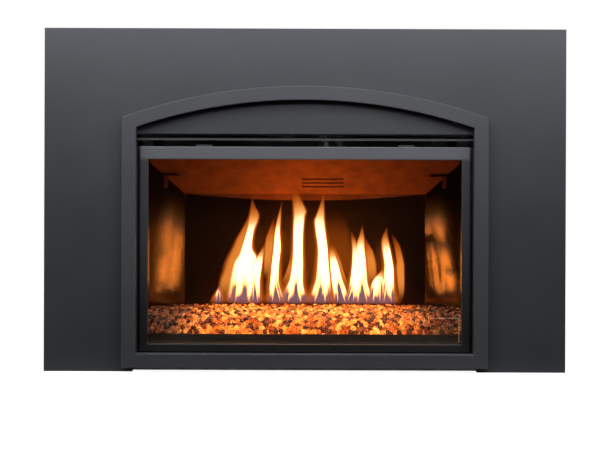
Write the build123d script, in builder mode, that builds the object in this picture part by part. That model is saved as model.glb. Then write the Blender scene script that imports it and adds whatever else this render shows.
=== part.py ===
"""Direct-vent gas fireplace insert.

Steel surround, arched pull-off face, hook-on glass door, glass-lined firebox with a burner under fire glass,
warm-air casing with a cross-flow blower, and a gas and electric control bay.

Millimetres. X runs to the viewer's right, Y goes back into the chimney opening, Z is up. The origin is on the
hearth, in the middle of the width, in the plane of the wall that the surround stands against.
"""

import os
from math import cos, radians, sin, sqrt, tan

from build123d import *

os.makedirs("parts", exist_ok=True)

# ------------------------------------------------------------------ driving dimensions
# Surround: a flat panel with three folded edges and a cut-out that is open at the bottom
surround_width = 1044.0
surround_height = 687.0
surround_depth = 22.0
panel_sheet = 2.0
cutout_height = 476.0
cutout_lip = 14.0
panel_bend_radius = 1.2

# Arched face: a channel-section frame that magnets hold to the surround
face_width = 728.0
face_bottom = 10.0
face_bar = 28.0
face_depth = 18.0
face_overlap = 19.0
crown_rise = 94.5
face_arch_radius = 1080.0
face_edge_radius = 1.2
magnet_radius = 7.0
magnet_rows = 3
magnet_lowest = 70.0
magnet_pitch = 190.0

# Glass door: a folded frame, a ceramic pane and a rope gasket, hung from two hooks
door_side_gap = 5.0
door_bottom = 39.0
outlet_gap = 25.5
door_recess = 20.0
door_depth = 12.0
door_sheet = 2.0
door_side_bar = 17.0
door_top_bar = 26.0
door_bottom_bar = 16.0
door_edge_radius = 1.5
pane_thickness = 5.0
pane_play = 1.5
pane_rest = 0.5
pane_clip_length = 24.0
pane_clip_pitch = 120.0
pane_clip_rows = 3
gasket_width = 9.0
gasket_gap = 2.5
hook_inset = 128.0
hook_width = 32.0
hook_sheet = 2.0
hook_front = 3.0
hook_tab = 4.0
hook_lift = 0.5
hook_room = 2.0
hook_drop = 6.0
tongue_width = 24.0
tongue_reach = 17.0
catch_sheet = 1.0
catch_play = 0.4
catch_depth = 12.0
catch_margin = 2.0

# Firebox lining, seen in plan: straight sides, two slanted rear corners and a straight back
lining_inset = 18.0
corner_reach = 70.0
firebox_depth = 278.0
corner_angle = 45.0
liner_thickness = 4.0
liner_front = 0.0
liner_gap = 0.5
box_sheet = 1.5
floor_top = 50.0
ceiling_drop = 14.5
front_plate_back = -2.0
front_plate_sheet = 2.0
front_plate_bottom = 42.0
front_plate_play = 1.0
sealing_margin = 2.0
leg_width = 24.0
leg_foot = 12.0
front_leg_inset = 8.0
front_leg_y = 34.0
rear_leg_outset = 14.0
rear_leg_setback = 53.0

# Outer casing round the firebox, which the room air passes through
casing_rise = 24.0
side_air_gap = 14.0
rear_air_gap = 52.0
casing_flange = 12.0
casing_flange_play = 1.0
base_upturn = 6.0
base_lip = 8.0
lid_skirt = 14.0
lid_skirt_seam = 0.05
lid_drop = 24.0
louvre_drop = 11.0
louvre_side_play = 3.0
louvre_lip = 3.0
louvre_front = -10.0
louvre_back = 40.0
louvre_rise = 5.0
louvre_leg_x = 300.0
louvre_leg_width = 20.0
louvre_leg_y = 22.0
louvre_foot = 14.0
bracket_leg = 26.0
bracket_reach = 50.0
bracket_bottom = 60.0
bracket_drop = 36.0
bracket_screw_margin = 40.0
bracket_screw_y = 15.0
lid_screw_pitch = 120.0
lid_screw_front = 60.0
screw_radius = 2.0
screw_head_radius = 4.5
screw_head = 2.6
screw_tail = 4.0
screw_play = 0.15
anchor_radius = 4.0
anchor_spread_x = 320.0
anchor_spread_y = 200.0
anchor_front = 45.0

# Slanted ceiling panel over the fire
baffle_sheet = 1.5
baffle_drop = 78.0
baffle_angle = 45.0
baffle_brim = 12.0
baffle_bow = 15.0
baffle_play = 1.0
baffle_slot_count = 3
baffle_slot_length = 96.0
baffle_slot_width = 4.0
baffle_slot_pitch = 12.0
baffle_slot_x = 40.0
baffle_slot_up = 35.0
clip_up = 40.0
clip_reach = 38.0
clip_height = 27.0
clip_width = 9.0
clip_depth = 8.0
clip_sheet = 1.5
clip_gap = 0.3

# Media tray, burner and fire glass
tray_sheet = 1.5
tray_play = 1.0
tray_front = 30.0
tray_lip_top = 69.0
tray_toe_z = 60.5
tray_toe_depth = 14.0
tray_slope_depth = 48.0
deck_top = 90.5
fence_lip = 4.0
burner_inset = 136.0
burner_front = 110.0
burner_setback = 58.0
burner_height = 30.0
burner_flange = 8.0
burner_corner = 6.0
port_radius = 2.2
port_columns = 14
port_margin = 28.0
port_rows = 2
port_row_pitch = 50.0
media_depth = 16.0
media_heap = 3.0
media_cutter = 48.0
media_play = 0.5
retainer_thickness = 4.0
retainer_height = 52.0
retainer_inset = 30.0
retainer_gap = 0.5
venturi_radius = 10.0
venturi_wall = 1.2
venturi_length = 78.0
venturi_inside = 14.0
venturi_waist = 2.5
venturi_z = 72.0
air_slot_count = 4
air_slot_length = 12.0
air_slot_width = 6.0
shutter_margin = 7.0
shutter_length = 20.0
shutter_wall = 1.5
shutter_play = 0.3
shutter_lever = 26.0
shutter_lever_width = 8.0
orifice_hex_radius = 7.0
orifice_length = 14.0
orifice_nose = 4.0
orifice_bore = 0.9
orifice_gap = 6.0
pilot_inset = 70.0
pilot_setback = 34.0
pilot_top = 122.0
pilot_tube_radius = 2.0
pilot_line_shift = 15.0
pilot_line_setback = 82.0
pilot_line_z = 30.0
pilot_bend = 14.0
pilot_hood_radius = 7.0
pilot_hood_height = 12.0
pilot_plate_length = 62.0
pilot_plate_width = 22.0
pilot_spread = 20.0
electrode_radius = 1.3
electrode_body_radius = 3.4
electrode_body_length = 26.0
electrode_play = 0.2
electrode_lean = 8.0
pilot_seat = 5.0
pilot_well = 4.0

# Vent collars, intake duct and flue restrictor
collar_radius = 38.1
collar_wall = 1.0
collar_rise = 45.0
collar_flange = 10.0
collar_bead = 1.6
collar_bead_up = 10.0
collar_play = 0.4
collar_hole_play = 3.0
exhaust_x = 62.0
intake_x = -62.0
collar_setback = 44.0
duct_half_width = 50.0
duct_depth = 26.0
duct_rise = 36.0
duct_sheet = 1.2
duct_bottom = 66.0
duct_port_height = 18.0
duct_port_margin = 4.0
restrictor_width = 56.0
restrictor_length = 60.0
restrictor_travel = 30.0
restrictor_play = 0.3
restrictor_sheet = 1.5
restrictor_grip = 10.0
rail_lip = 6.0
rail_sheet = 1.0
rail_margin = 4.0

# Gas controls
panel_front = 4.0
bay_sheet = 1.5
bay_panel_width = 130.0
bay_panel_height = 34.0
bay_panel_margin = 10.0
bay_panel_foot = 14.0
bay_axis_z = 21.0
knob_radius = 11.0
knob_length = 13.0
knob_gap = 2.0
knob_ribs = 12
knob_rib_radius = 1.4
knob_spacing = 50.0
knob_bevel = 0.8
knob_groove = 1.5
stem_radius = 3.0
stem_play = 0.05
stem_seat = 8.0
stem_end_play = 1.0
panel_hole_play = 1.5
valve_front = 26.0
valve_width = 110.0
valve_depth = 64.0
valve_height = 30.0
valve_foot = 4.0
valve_fillet = 5.0
valve_boss_radius = 8.0
valve_boss_length = 7.0
tower_radius = 13.0
tower_height = 7.0
tower_taper = 10.0
gas_tube_radius = 4.0
manifold_nut_radius = 9.0
supply_nut_radius = 10.5
pilot_nut_radius = 6.0
tube_nut_length = 9.0
manifold_shift = -48.0
manifold_z = 30.0
manifold_bend = 8.0
supply_tube_radius = 5.0
supply_shift = 35.0
supply_bend = 18.0
inlet_y = 150.0
inlet_z = 17.0
inlet_hex_radius = 13.0
inlet_bore_radius = 7.6
inlet_bore_depth = 14.0
inlet_length = 20.0
inlet_neck_radius = 9.0
inlet_neck = 16.0

# Electric controls
module_size = (84.0, 62.0, 30.0)
module_shift = -50.0
module_y = 74.0
junction_size = (44.0, 70.0, 36.0)
junction_shift = 42.0
junction_y = 92.0
knockout_radius = 11.0
knockout_groove = 1.0
knockout_depth = 0.6
terminal_count = 6
terminal_pitch = 12.0
terminal_width = 8.0
terminal_height = 10.0
terminal_depth = 6.0
box_corner = 3.0
box_bevel = 1.0
switch_width = 13.0
switch_height = 19.0
switch_depth = 16.0
switch_bezel = 2.0
rocker_play = 0.4
rocker_bulge = 3.0
rocker_keel = 1.6
rocker_room = 1.6
rocker_pivot_depth = 4.0
speed_body_depth = 18.0
speed_body_size = 24.0

# Cross-flow blower behind the firebox
blower_margin = 51.0
blower_setback = 30.0
blower_z = 28.0
rotor_radius = 19.0
rotor_inner_radius = 13.0
rotor_inset = 16.0
rotor_blades = 22
blade_thickness = 0.9
blade_sag = 1.4
rotor_disc = 1.2
shaft_radius = 3.0
shaft_play = 0.05
shaft_bevel = 0.5
scroll_sheet = 1.2
scroll_radius = 23.5
scroll_shift = 1.0
scroll_sweep = 125.0
scroll_outlet_top = 62.0
tongue_gap = 2.0
tongue_rise = 14.0
tongue_lip_radius = 3.0
tongue_curl = 110.0
end_plate_sheet = 1.5
end_plate_gap = 4.0
end_plate_foot = 12.0
bearing_bore = 5.0
bearing_radius = 7.0
bearing_length = 6.0
motor_radius = 15.0
motor_length = 44.0
motor_edge = 3.0
motor_boss_radius = 6.0
motor_boss_length = 5.0
motor_core_length = 20.0
motor_core_depth = 38.0
motor_core_height = 34.0
motor_yoke_reach = 24.0
motor_yoke_height = 30.0
motor_coil_depth = 16.0
motor_coil_overhang = 5.0
motor_foot_depth = 24.0
shaft_motor_depth = 20.0

# ------------------------------------------------------------------ sizes that follow from them
cutout_width = face_width - 2 * face_overlap
door_width = face_width - 2 * (face_bar + door_side_gap)
hook_spread = door_width - 2 * hook_inset
firebox_half_width = face_width / 2 - lining_inset
firebox_back_half = firebox_half_width - corner_reach
front_leg_x = firebox_half_width - front_leg_inset
rear_leg_x = firebox_back_half + rear_leg_outset
rear_leg_y = firebox_depth - rear_leg_setback
retainer_half_width = firebox_half_width - retainer_inset
louvre_width = cutout_width - 2 * louvre_side_play
burner_half_width = firebox_half_width - burner_inset
burner_back = firebox_depth - burner_setback
port_pitch = 2 * (burner_half_width - port_margin) / (port_columns - 1)
pilot_x = pilot_inset - burner_half_width
pilot_y = firebox_depth - pilot_setback
pilot_line_y = firebox_depth - pilot_line_setback
collar_y = firebox_depth - collar_setback
bay_panel_x = (cutout_width - bay_panel_width) / 2 - bay_panel_margin
gas_panel_x = -bay_panel_x
manifold_x = gas_panel_x + manifold_shift
pilot_line_x = gas_panel_x + pilot_line_shift
supply_x = gas_panel_x + supply_shift
module_x = bay_panel_x + module_shift
junction_x = bay_panel_x + junction_shift
rotor_length = firebox_back_half - rotor_inset
blower_x = firebox_back_half - blower_margin - rotor_length / 2
blower_y = firebox_depth + blower_setback
face_crown = cutout_height + crown_rise
door_top = cutout_height - outlet_gap
ceiling_bottom = door_top - ceiling_drop
baffle_corner_z = ceiling_bottom - baffle_drop
casing_height = cutout_height + casing_rise
louvre_height = cutout_height - louvre_drop
bracket_top = cutout_height - bracket_drop

# ------------------------------------------------------------------ places that follow from both
surround_front = -surround_depth
surround_back_skin = surround_front + panel_sheet
face_front = surround_front - face_depth
door_front = -door_recess
door_back = door_front + door_depth
door_middle = (door_top + door_bottom) / 2
door_height = door_top - door_bottom
pane_front = door_front + door_sheet + pane_rest
pane_back = pane_front + pane_thickness
pane_half_width = door_width / 2 - door_sheet - pane_play
pane_height = door_height - 2 * (door_sheet + pane_play)
sight_half_width = door_width / 2 - door_side_bar
sight_bottom = door_bottom + door_bottom_bar
sight_top = door_top - door_top_bar
sight_middle = (sight_top + sight_bottom) / 2
sight_height = sight_top - sight_bottom
front_plate_front = front_plate_back - front_plate_sheet
front_plate_top = door_top - hook_lift
firebox_inner = liner_thickness + liner_gap
firebox_outer = firebox_inner + box_sheet
floor_bottom = floor_top - box_sheet
ceiling_top = ceiling_bottom + box_sheet
casing_inner_side = firebox_outer + side_air_gap
casing_inner_rear = firebox_outer + rear_air_gap
casing_half_width = firebox_half_width + casing_inner_side + box_sheet
casing_wall_top = casing_height - box_sheet
casing_mouth = firebox_half_width + casing_inner_side - casing_flange
valve_back = valve_front + valve_depth
deck_bottom = deck_top - tray_sheet
deck_front = tray_front + tray_toe_depth + tray_slope_depth
tray_back = firebox_depth - tray_play
duct_top = ceiling_top + duct_rise
duct_front_face = firebox_depth + firebox_outer
collar_top = casing_height + collar_rise
port_low = duct_bottom + duct_port_margin
bay_back = panel_front + bay_sheet
knob_back = panel_front - knob_gap
base_top = box_sheet


def facing_plane(y):
    """Upright sketch plane at depth y: x to the right, y up. A negative extrude goes back."""
    return Plane.XZ.offset(-y)


def side_plane(x):
    """Upright sketch plane at x, seen from the right: its x is depth and its y is height."""
    return Plane.YZ.offset(x)


def plan_outline(side, rear, front):
    """Plan of the tapered box: the lining with its sides and corners grown by side and its back by rear."""
    half = firebox_half_width + side
    back = firebox_depth + rear
    slope = tan(radians(corner_angle))
    reach = firebox_back_half + side / cos(radians(corner_angle))
    turn = firebox_depth - (half - reach) / slope
    right = [(half, front), (half, turn), (reach - (back - firebox_depth) * slope, back)]
    return right + [(-x, y) for x, y in reversed(right)]


def box_outline(grow, front=front_plate_back):
    """Plan of the firebox lining, grown evenly."""
    return plan_outline(grow, grow, front)


def casing_outline(grow, front=front_plate_back):
    """Plan of the casing's inner face, grown evenly."""
    return plan_outline(casing_inner_side + grow, casing_inner_rear + grow, front)


def outline_face(points):
    """Flat face inside a closed run of straight lines."""
    with BuildSketch() as face:
        with BuildLine():
            Polyline(*points, close=True)
        make_face()
    return face.sketch


def shifted_line(points, distance):
    """A run of straight lines moved to its left by distance, with its corners mitred."""
    path = [Vector(*point) for point in points]
    ways = [(end - start).normalized() for start, end in zip(path, path[1:])]
    ways = [ways[0]] + ways + [ways[-1]]
    moved = []
    for point, way_in, way_out in zip(path, ways, ways[1:]):
        mitre = Vector(-way_in.Y - way_out.Y, way_in.X + way_out.X)
        moved.append(point + mitre * (distance / (1 + way_in.dot(way_out))))
    return [(point.X, point.Y) for point in moved]


def folded_sheet(points, sheet):
    """Section of a folded sheet: a run of straight lines thickened to its left."""
    return outline_face(points + shifted_line(points, sheet)[::-1])


def arched_outline(inset):
    """The arched face's outline drawn inset from its edge: straight sill and jambs, and an arched head."""
    half = face_width / 2 - inset
    radius = face_arch_radius - inset
    sill = face_bottom + inset
    centre = face_crown - face_arch_radius
    spring = centre + sqrt(radius**2 - half**2)
    with BuildSketch() as outline:
        with BuildLine():
            Polyline((-half, spring), (-half, sill), (half, sill), (half, spring))
            ThreePointArc((half, spring), (0, centre + radius), (-half, spring))
        make_face()
    return outline.sketch


def frame_face(width, height, bar, corner):
    """Rectangular ring with rounded corners, measured over its outside."""
    with BuildSketch() as ring:
        RectangleRounded(width, height, corner)
        RectangleRounded(width - 2 * bar, height - 2 * bar, max(corner - bar, 1.0), mode=Mode.SUBTRACT)
    return ring.sketch


def blade_section():
    """Section of one rotor blade, a thin curved strip between the rotor's inner and outer radius."""
    with BuildSketch() as blade:
        with BuildLine():
            ThreePointArc(
                (rotor_inner_radius, 0),
                ((rotor_inner_radius + rotor_radius) / 2, blade_sag),
                (rotor_radius - blade_thickness, -blade_sag),
            )
            offset(amount=blade_thickness, side=Side.LEFT)
        make_face()
    return blade.sketch


# ------------------------------------------------------------------ surround panel
with BuildPart() as surround_panel:
    with BuildSketch(facing_plane(surround_front)):
        with Locations((0, surround_height / 2)):
            Rectangle(surround_width, surround_height)
        with Locations((0, cutout_height / 2)):
            Rectangle(cutout_width, cutout_height, mode=Mode.SUBTRACT)
    extrude(amount=-panel_sheet)
    with BuildSketch(facing_plane(surround_front)):
        with Locations((0, surround_height / 2)):
            Rectangle(surround_width, surround_height)
        with Locations((0, (surround_height - panel_sheet) / 2)):
            Rectangle(surround_width - 2 * panel_sheet, surround_height - panel_sheet, mode=Mode.SUBTRACT)
    extrude(amount=-surround_depth)
    with BuildSketch(facing_plane(surround_front)):
        with Locations((0, (cutout_height + panel_sheet) / 2)):
            Rectangle(cutout_width + 2 * panel_sheet, cutout_height + panel_sheet)
        with Locations((0, cutout_height / 2)):
            Rectangle(cutout_width, cutout_height, mode=Mode.SUBTRACT)
    extrude(amount=-cutout_lip)
    front_edges = surround_panel.edges().filter_by_position(Axis.Y, surround_front, surround_front)
    side_folds = front_edges.filter_by(lambda e: abs(abs(e.center().X) - surround_width / 2) < panel_sheet / 2)
    top_fold = front_edges.filter_by(lambda e: abs(e.center().Z - surround_height) < panel_sheet / 2)
    fillet(side_folds + top_fold, radius=panel_bend_radius)
surround_panel.part.label = "surround_panel"
export_step(surround_panel.part, "parts/surround_panel.step")

# ------------------------------------------------------------------ arched face and its magnets
with BuildPart() as arched_face:
    with BuildSketch(facing_plane(face_front)):
        add(arched_outline(0))
        add(arched_outline(face_bar), mode=Mode.SUBTRACT)
    extrude(amount=-face_depth)
    with BuildSketch(facing_plane(surround_front)):
        add(arched_outline(panel_sheet))
        add(arched_outline(face_bar - panel_sheet), mode=Mode.SUBTRACT)
    extrude(amount=face_depth - panel_sheet, mode=Mode.SUBTRACT)
    fillet(arched_face.edges().filter_by_position(Axis.Y, face_front, face_front), radius=face_edge_radius)
arched_face.part.label = "arched_face"
export_step(arched_face.part, "parts/arched_face.step")

magnet_x = (cutout_width / 2 + face_width / 2) / 2
with BuildPart() as face_magnets:
    with BuildSketch(facing_plane(face_front + panel_sheet)):
        with Locations((0, magnet_lowest + magnet_pitch * (magnet_rows - 1) / 2)):
            with GridLocations(2 * magnet_x, magnet_pitch, 2, magnet_rows):
                Circle(magnet_radius)
    extrude(amount=-(face_depth - panel_sheet))
face_magnets.part.label = "face_magnets"
export_step(face_magnets.part, "parts/face_magnets.step")

# ------------------------------------------------------------------ glass door
gasket_outer_half = sight_half_width + gasket_gap + gasket_width
gasket_outer_height = sight_height + 2 * (gasket_gap + gasket_width)
pane_clip_width = door_width / 2 - door_sheet - gasket_outer_half - pane_rest
with BuildPart() as door_frame:
    with BuildSketch(facing_plane(door_front)):
        with Locations((0, door_middle)):
            Rectangle(door_width, door_height)
    extrude(amount=-door_depth)
    with BuildSketch(facing_plane(door_back)):
        with Locations((0, door_middle)):
            Rectangle(door_width - 2 * door_sheet, door_height - 2 * door_sheet)
    extrude(amount=door_depth - door_sheet, mode=Mode.SUBTRACT)
    with BuildSketch(facing_plane(door_front)):
        with Locations((0, sight_middle)):
            Rectangle(2 * sight_half_width, sight_height)
    extrude(amount=-door_sheet, mode=Mode.SUBTRACT)
    fillet(door_frame.edges().filter_by_position(Axis.Y, door_front, door_front), radius=door_edge_radius)
    # Two tongues run back from the bottom fold into the spring catches
    with BuildSketch(facing_plane(door_back)):
        with Locations((0, door_bottom + door_sheet / 2)):
            with GridLocations(hook_spread, 0, 2, 1):
                Rectangle(tongue_width, door_sheet)
    extrude(amount=-tongue_reach)
    # Small blocks welded inside the side folds keep the pane in the frame
    with BuildSketch(facing_plane(pane_back)):
        with Locations((0, door_middle)):
            with GridLocations(door_width - 2 * door_sheet - pane_clip_width, pane_clip_pitch, 2, pane_clip_rows):
                Rectangle(pane_clip_width, pane_clip_length)
    extrude(amount=-(door_back - pane_back))
door_frame.part.label = "door_frame"
export_step(door_frame.part, "parts/door_frame.step")

with BuildPart() as door_glass:
    with BuildSketch(facing_plane(pane_front)):
        with Locations((0, door_middle)):
            RectangleRounded(2 * pane_half_width, pane_height, pane_play)
    extrude(amount=-pane_thickness)
door_glass.part.label = "door_glass"
export_step(door_glass.part, "parts/door_glass.step")

with BuildPart() as door_gasket:
    with BuildSketch(facing_plane(pane_back)):
        with Locations((0, sight_middle)):
            add(frame_face(2 * gasket_outer_half, gasket_outer_height, gasket_width, gasket_width))
    extrude(amount=-(front_plate_front - pane_back))
door_gasket.part.label = "door_gasket"
export_step(door_gasket.part, "parts/door_gasket.step")

# Each hook lies on the top fold, reaches over the front plate and turns down behind it
hook_inner = front_plate_back + hook_room
hook_path = [
    (door_front + hook_front, door_top + hook_tab),
    (door_front + hook_front, door_top),
    (hook_inner, door_top),
    (hook_inner, door_top - hook_drop),
]
with BuildPart() as door_hooks:
    for side in (-1, 1):
        with BuildSketch(side_plane(side * hook_spread / 2)):
            add(folded_sheet(hook_path, hook_sheet))
        extrude(amount=hook_width / 2, both=True)
door_hooks.part.label = "door_hooks"
export_step(door_hooks.part, "parts/door_hooks.step")

# Spring catches: folded strips behind the front plate, open towards the door
catch_low = door_bottom - catch_play
catch_high = door_bottom + door_sheet + catch_play
catch_back = door_back + tongue_reach + catch_play
catch_path = [
    (front_plate_back, floor_bottom),
    (front_plate_back, catch_high),
    (catch_back, catch_high),
    (catch_back, catch_low),
    (catch_back - catch_depth, catch_low),
]
with BuildPart() as door_catches:
    for side in (-1, 1):
        with BuildSketch(side_plane(side * hook_spread / 2)):
            add(folded_sheet(catch_path, catch_sheet))
        extrude(amount=tongue_width / 2 + catch_margin, both=True)
door_catches.part.label = "door_catches"
export_step(door_catches.part, "parts/door_catches.step")

# ------------------------------------------------------------------ firebox
plate_half_width = firebox_half_width + casing_inner_side - front_plate_play
with BuildPart() as firebox_face:
    with BuildSketch(facing_plane(front_plate_front)):
        with Locations((0, (front_plate_top + front_plate_bottom) / 2)):
            Rectangle(2 * plate_half_width, front_plate_top - front_plate_bottom)
        with Locations((0, sight_middle)):
            RectangleRounded(
                2 * (sight_half_width + gasket_gap + sealing_margin),
                sight_height + 2 * (gasket_gap + sealing_margin),
                gasket_gap + sealing_margin,
                mode=Mode.SUBTRACT,
            )
    extrude(amount=-front_plate_sheet)
firebox_face.part.label = "firebox_face"
export_step(firebox_face.part, "parts/firebox_face.step")


def cut_air_port(y_front, depth):
    """Opening for the combustion air, low in the middle of the back, cut from y_front backwards."""
    with BuildSketch(facing_plane(y_front)) as port:
        with Locations((intake_x, port_low + duct_port_height / 2)):
            SlotOverall(2 * (duct_half_width - duct_port_margin), duct_port_height)
    extrude(port.sketch, amount=-depth, mode=Mode.SUBTRACT)


with BuildPart() as firebox_wrap:
    with BuildSketch(Plane.XY.offset(floor_top)):
        add(outline_face(box_outline(firebox_outer)))
        add(outline_face(box_outline(firebox_inner)), mode=Mode.SUBTRACT)
    extrude(amount=ceiling_bottom - floor_top)
    cut_air_port(firebox_depth + liner_thickness, liner_gap + 2 * box_sheet)
firebox_wrap.part.label = "firebox_wrap"
export_step(firebox_wrap.part, "parts/firebox_wrap.step")

with BuildPart() as firebox_floor:
    with BuildSketch(Plane.XY.offset(floor_bottom)):
        add(outline_face(box_outline(firebox_outer)))
        with Locations((manifold_x, (burner_front + burner_back) / 2)):
            Circle(gas_tube_radius + collar_play, mode=Mode.SUBTRACT)
        with Locations((pilot_x, pilot_y)):
            Circle(pilot_tube_radius + collar_play, mode=Mode.SUBTRACT)
    extrude(amount=box_sheet)
firebox_floor.part.label = "firebox_floor"
export_step(firebox_floor.part, "parts/firebox_floor.step")

# The top sheet carries two folded rails that guide the flue restrictor under the exhaust hole
restrictor_start = exhaust_x - collar_radius - restrictor_travel
rail_room = restrictor_width / 2 + restrictor_play
rail_z = ceiling_bottom - restrictor_sheet - 2 * restrictor_play
rear_rail = [
    (collar_y + rail_room, ceiling_bottom),
    (collar_y + rail_room, rail_z),
    (collar_y + rail_room - rail_lip, rail_z),
]
front_rail = [(2 * collar_y - y, z) for y, z in reversed(rear_rail)]
with BuildPart() as firebox_top:
    with BuildSketch(Plane.XY.offset(ceiling_bottom)):
        add(outline_face(box_outline(firebox_outer)))
        with Locations((exhaust_x, collar_y)):
            Circle(collar_radius - collar_wall, mode=Mode.SUBTRACT)
    extrude(amount=box_sheet)
    for rail in (front_rail, rear_rail):
        with BuildSketch(side_plane(restrictor_start - rail_margin)):
            add(folded_sheet(rail, rail_sheet))
        extrude(amount=restrictor_length + restrictor_travel + 2 * rail_margin)
firebox_top.part.label = "firebox_top"
export_step(firebox_top.part, "parts/firebox_top.step")

# ------------------------------------------------------------------ lining panels
lining_inside = box_outline(0, liner_front)
lining_outside = box_outline(liner_thickness, liner_front)
panel_names = ("liner_side_right", "liner_corner_right", "liner_back", "liner_corner_left", "liner_side_left")
for index, panel_name in enumerate(panel_names):
    inside = lining_inside[index : index + 2]
    outside = lining_outside[index : index + 2]
    with BuildPart() as liner:
        with BuildSketch(Plane.XY.offset(floor_top)):
            add(outline_face(inside + outside[::-1]))
        extrude(amount=ceiling_bottom - liner_gap - floor_top)
        if panel_name == "liner_back":
            cut_air_port(firebox_depth, liner_thickness)
    liner.part.label = panel_name
    export_step(liner.part, f"parts/{panel_name}.step")

# ------------------------------------------------------------------ slanted ceiling panel
baffle_back = firebox_depth - baffle_play
baffle_foot_y = baffle_back - baffle_sheet
baffle_top_z = ceiling_bottom - baffle_play - baffle_sheet
baffle_head_y = baffle_foot_y - (baffle_top_z - baffle_corner_z) / tan(radians(baffle_angle))
baffle_path = [
    (baffle_head_y - baffle_brim, baffle_top_z),
    (baffle_head_y, baffle_top_z),
    (baffle_foot_y, baffle_corner_z),
    (baffle_foot_y, baffle_corner_z - baffle_bow),
]
slope_plane = Plane(
    origin=(0, baffle_foot_y, baffle_corner_z),
    x_dir=(1, 0, 0),
    z_dir=(0, -sin(radians(baffle_angle)), -cos(radians(baffle_angle))),
)
with BuildPart() as ceiling_baffle:
    with BuildSketch(Plane.YZ):
        add(folded_sheet(baffle_path, baffle_sheet))
    extrude(amount=firebox_half_width, both=True)
    with BuildSketch(Plane.XY.offset(baffle_corner_z - baffle_bow)):
        add(outline_face(box_outline(-baffle_play)))
    extrude(amount=ceiling_bottom - baffle_corner_z + baffle_bow, mode=Mode.INTERSECT)
    # The rear lip is cut to a shallow bow, deepest in the middle
    with BuildSketch(facing_plane(baffle_foot_y)):
        with BuildLine():
            Polyline(
                (-firebox_back_half, baffle_corner_z),
                (-firebox_back_half, baffle_corner_z - 2 * baffle_bow),
                (firebox_back_half, baffle_corner_z - 2 * baffle_bow),
                (firebox_back_half, baffle_corner_z),
            )
            ThreePointArc(
                (firebox_back_half, baffle_corner_z),
                (0, baffle_corner_z - baffle_bow),
                (-firebox_back_half, baffle_corner_z),
            )
        make_face()
    extrude(amount=-2 * baffle_sheet, mode=Mode.SUBTRACT)
    with BuildSketch(slope_plane):
        with Locations((baffle_slot_x, baffle_slot_up)):
            with GridLocations(0, baffle_slot_pitch, 1, baffle_slot_count):
                SlotOverall(baffle_slot_length, baffle_slot_width)
    extrude(amount=2 * baffle_sheet, both=True, mode=Mode.SUBTRACT)
ceiling_baffle.part.label = "ceiling_baffle"
export_step(ceiling_baffle.part, "parts/ceiling_baffle.step")

# Angle clips under the ceiling panel hold the corner panels
clip_z = baffle_corner_z + clip_up
clip_back = baffle_foot_y - clip_up / tan(radians(baffle_angle)) - clip_gap
clip_wall_x = firebox_back_half + (firebox_depth - clip_back) * tan(radians(corner_angle)) - clip_gap
with BuildPart() as panel_clips:
    for side in (-1, 1):
        with BuildSketch(facing_plane(clip_back - clip_depth)):
            with Locations((side * (clip_wall_x - clip_reach / 2), clip_z - clip_sheet / 2)):
                Rectangle(clip_reach, clip_sheet)
        extrude(amount=-clip_depth)
        with BuildSketch(facing_plane(clip_back - clip_sheet)):
            with Locations((side * (clip_wall_x - clip_width / 2), clip_z - clip_height / 2)):
                Rectangle(clip_width, clip_height)
        extrude(amount=-clip_sheet)
panel_clips.part.label = "panel_clips"
export_step(panel_clips.part, "parts/panel_clips.step")

# ------------------------------------------------------------------ media tray, fence and fire glass
burner_middle = (burner_front + burner_back) / 2
tray_path = [
    (tray_front, tray_lip_top),
    (tray_front, tray_toe_z),
    (tray_front + tray_toe_depth, tray_toe_z),
    (deck_front, deck_bottom),
    (tray_back - tray_sheet, deck_bottom),
    (tray_back - tray_sheet, floor_top),
]
with BuildPart() as media_tray:
    with BuildSketch(Plane.YZ):
        add(folded_sheet(tray_path, tray_sheet))
    extrude(amount=firebox_half_width, both=True)
    with BuildSketch(Plane.XY.offset(floor_top)):
        add(outline_face(box_outline(-tray_play)))
    extrude(amount=deck_top - floor_top, mode=Mode.INTERSECT)
    with BuildSketch(Plane.XY.offset(deck_bottom)):
        with Locations((0, burner_middle)):
            with GridLocations(port_pitch, port_row_pitch, port_columns, port_rows):
                Circle(port_radius)
        with Locations((pilot_x, pilot_y)):
            SlotOverall(pilot_plate_length - 2 * pilot_seat, pilot_plate_width - 2 * pilot_seat)
    extrude(amount=tray_sheet, mode=Mode.SUBTRACT)
    cut_air_port(tray_back - 2 * tray_sheet, 3 * tray_sheet)
media_tray.part.label = "media_tray"
export_step(media_tray.part, "parts/media_tray.step")

retainer_back = tray_front - tray_sheet - retainer_gap
retainer_front = retainer_back - retainer_thickness
fence_path = [
    (retainer_front - retainer_gap - tray_sheet, floor_top + fence_lip),
    (retainer_front - retainer_gap - tray_sheet, floor_top),
    (tray_front, floor_top),
    (tray_front, tray_lip_top),
]
with BuildPart() as media_fence:
    with BuildSketch(Plane.YZ):
        add(folded_sheet(fence_path, tray_sheet))
    extrude(amount=firebox_half_width - tray_play, both=True)
media_fence.part.label = "media_fence"
export_step(media_fence.part, "parts/media_fence.step")

with BuildPart() as glass_retainer:
    with BuildSketch(Plane.XY.offset(floor_top + tray_sheet)):
        with Locations((0, (retainer_front + retainer_back) / 2)):
            Rectangle(2 * retainer_half_width, retainer_thickness)
    extrude(amount=retainer_height)
glass_retainer.part.label = "glass_retainer"
export_step(glass_retainer.part, "parts/glass_retainer.step")

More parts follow.
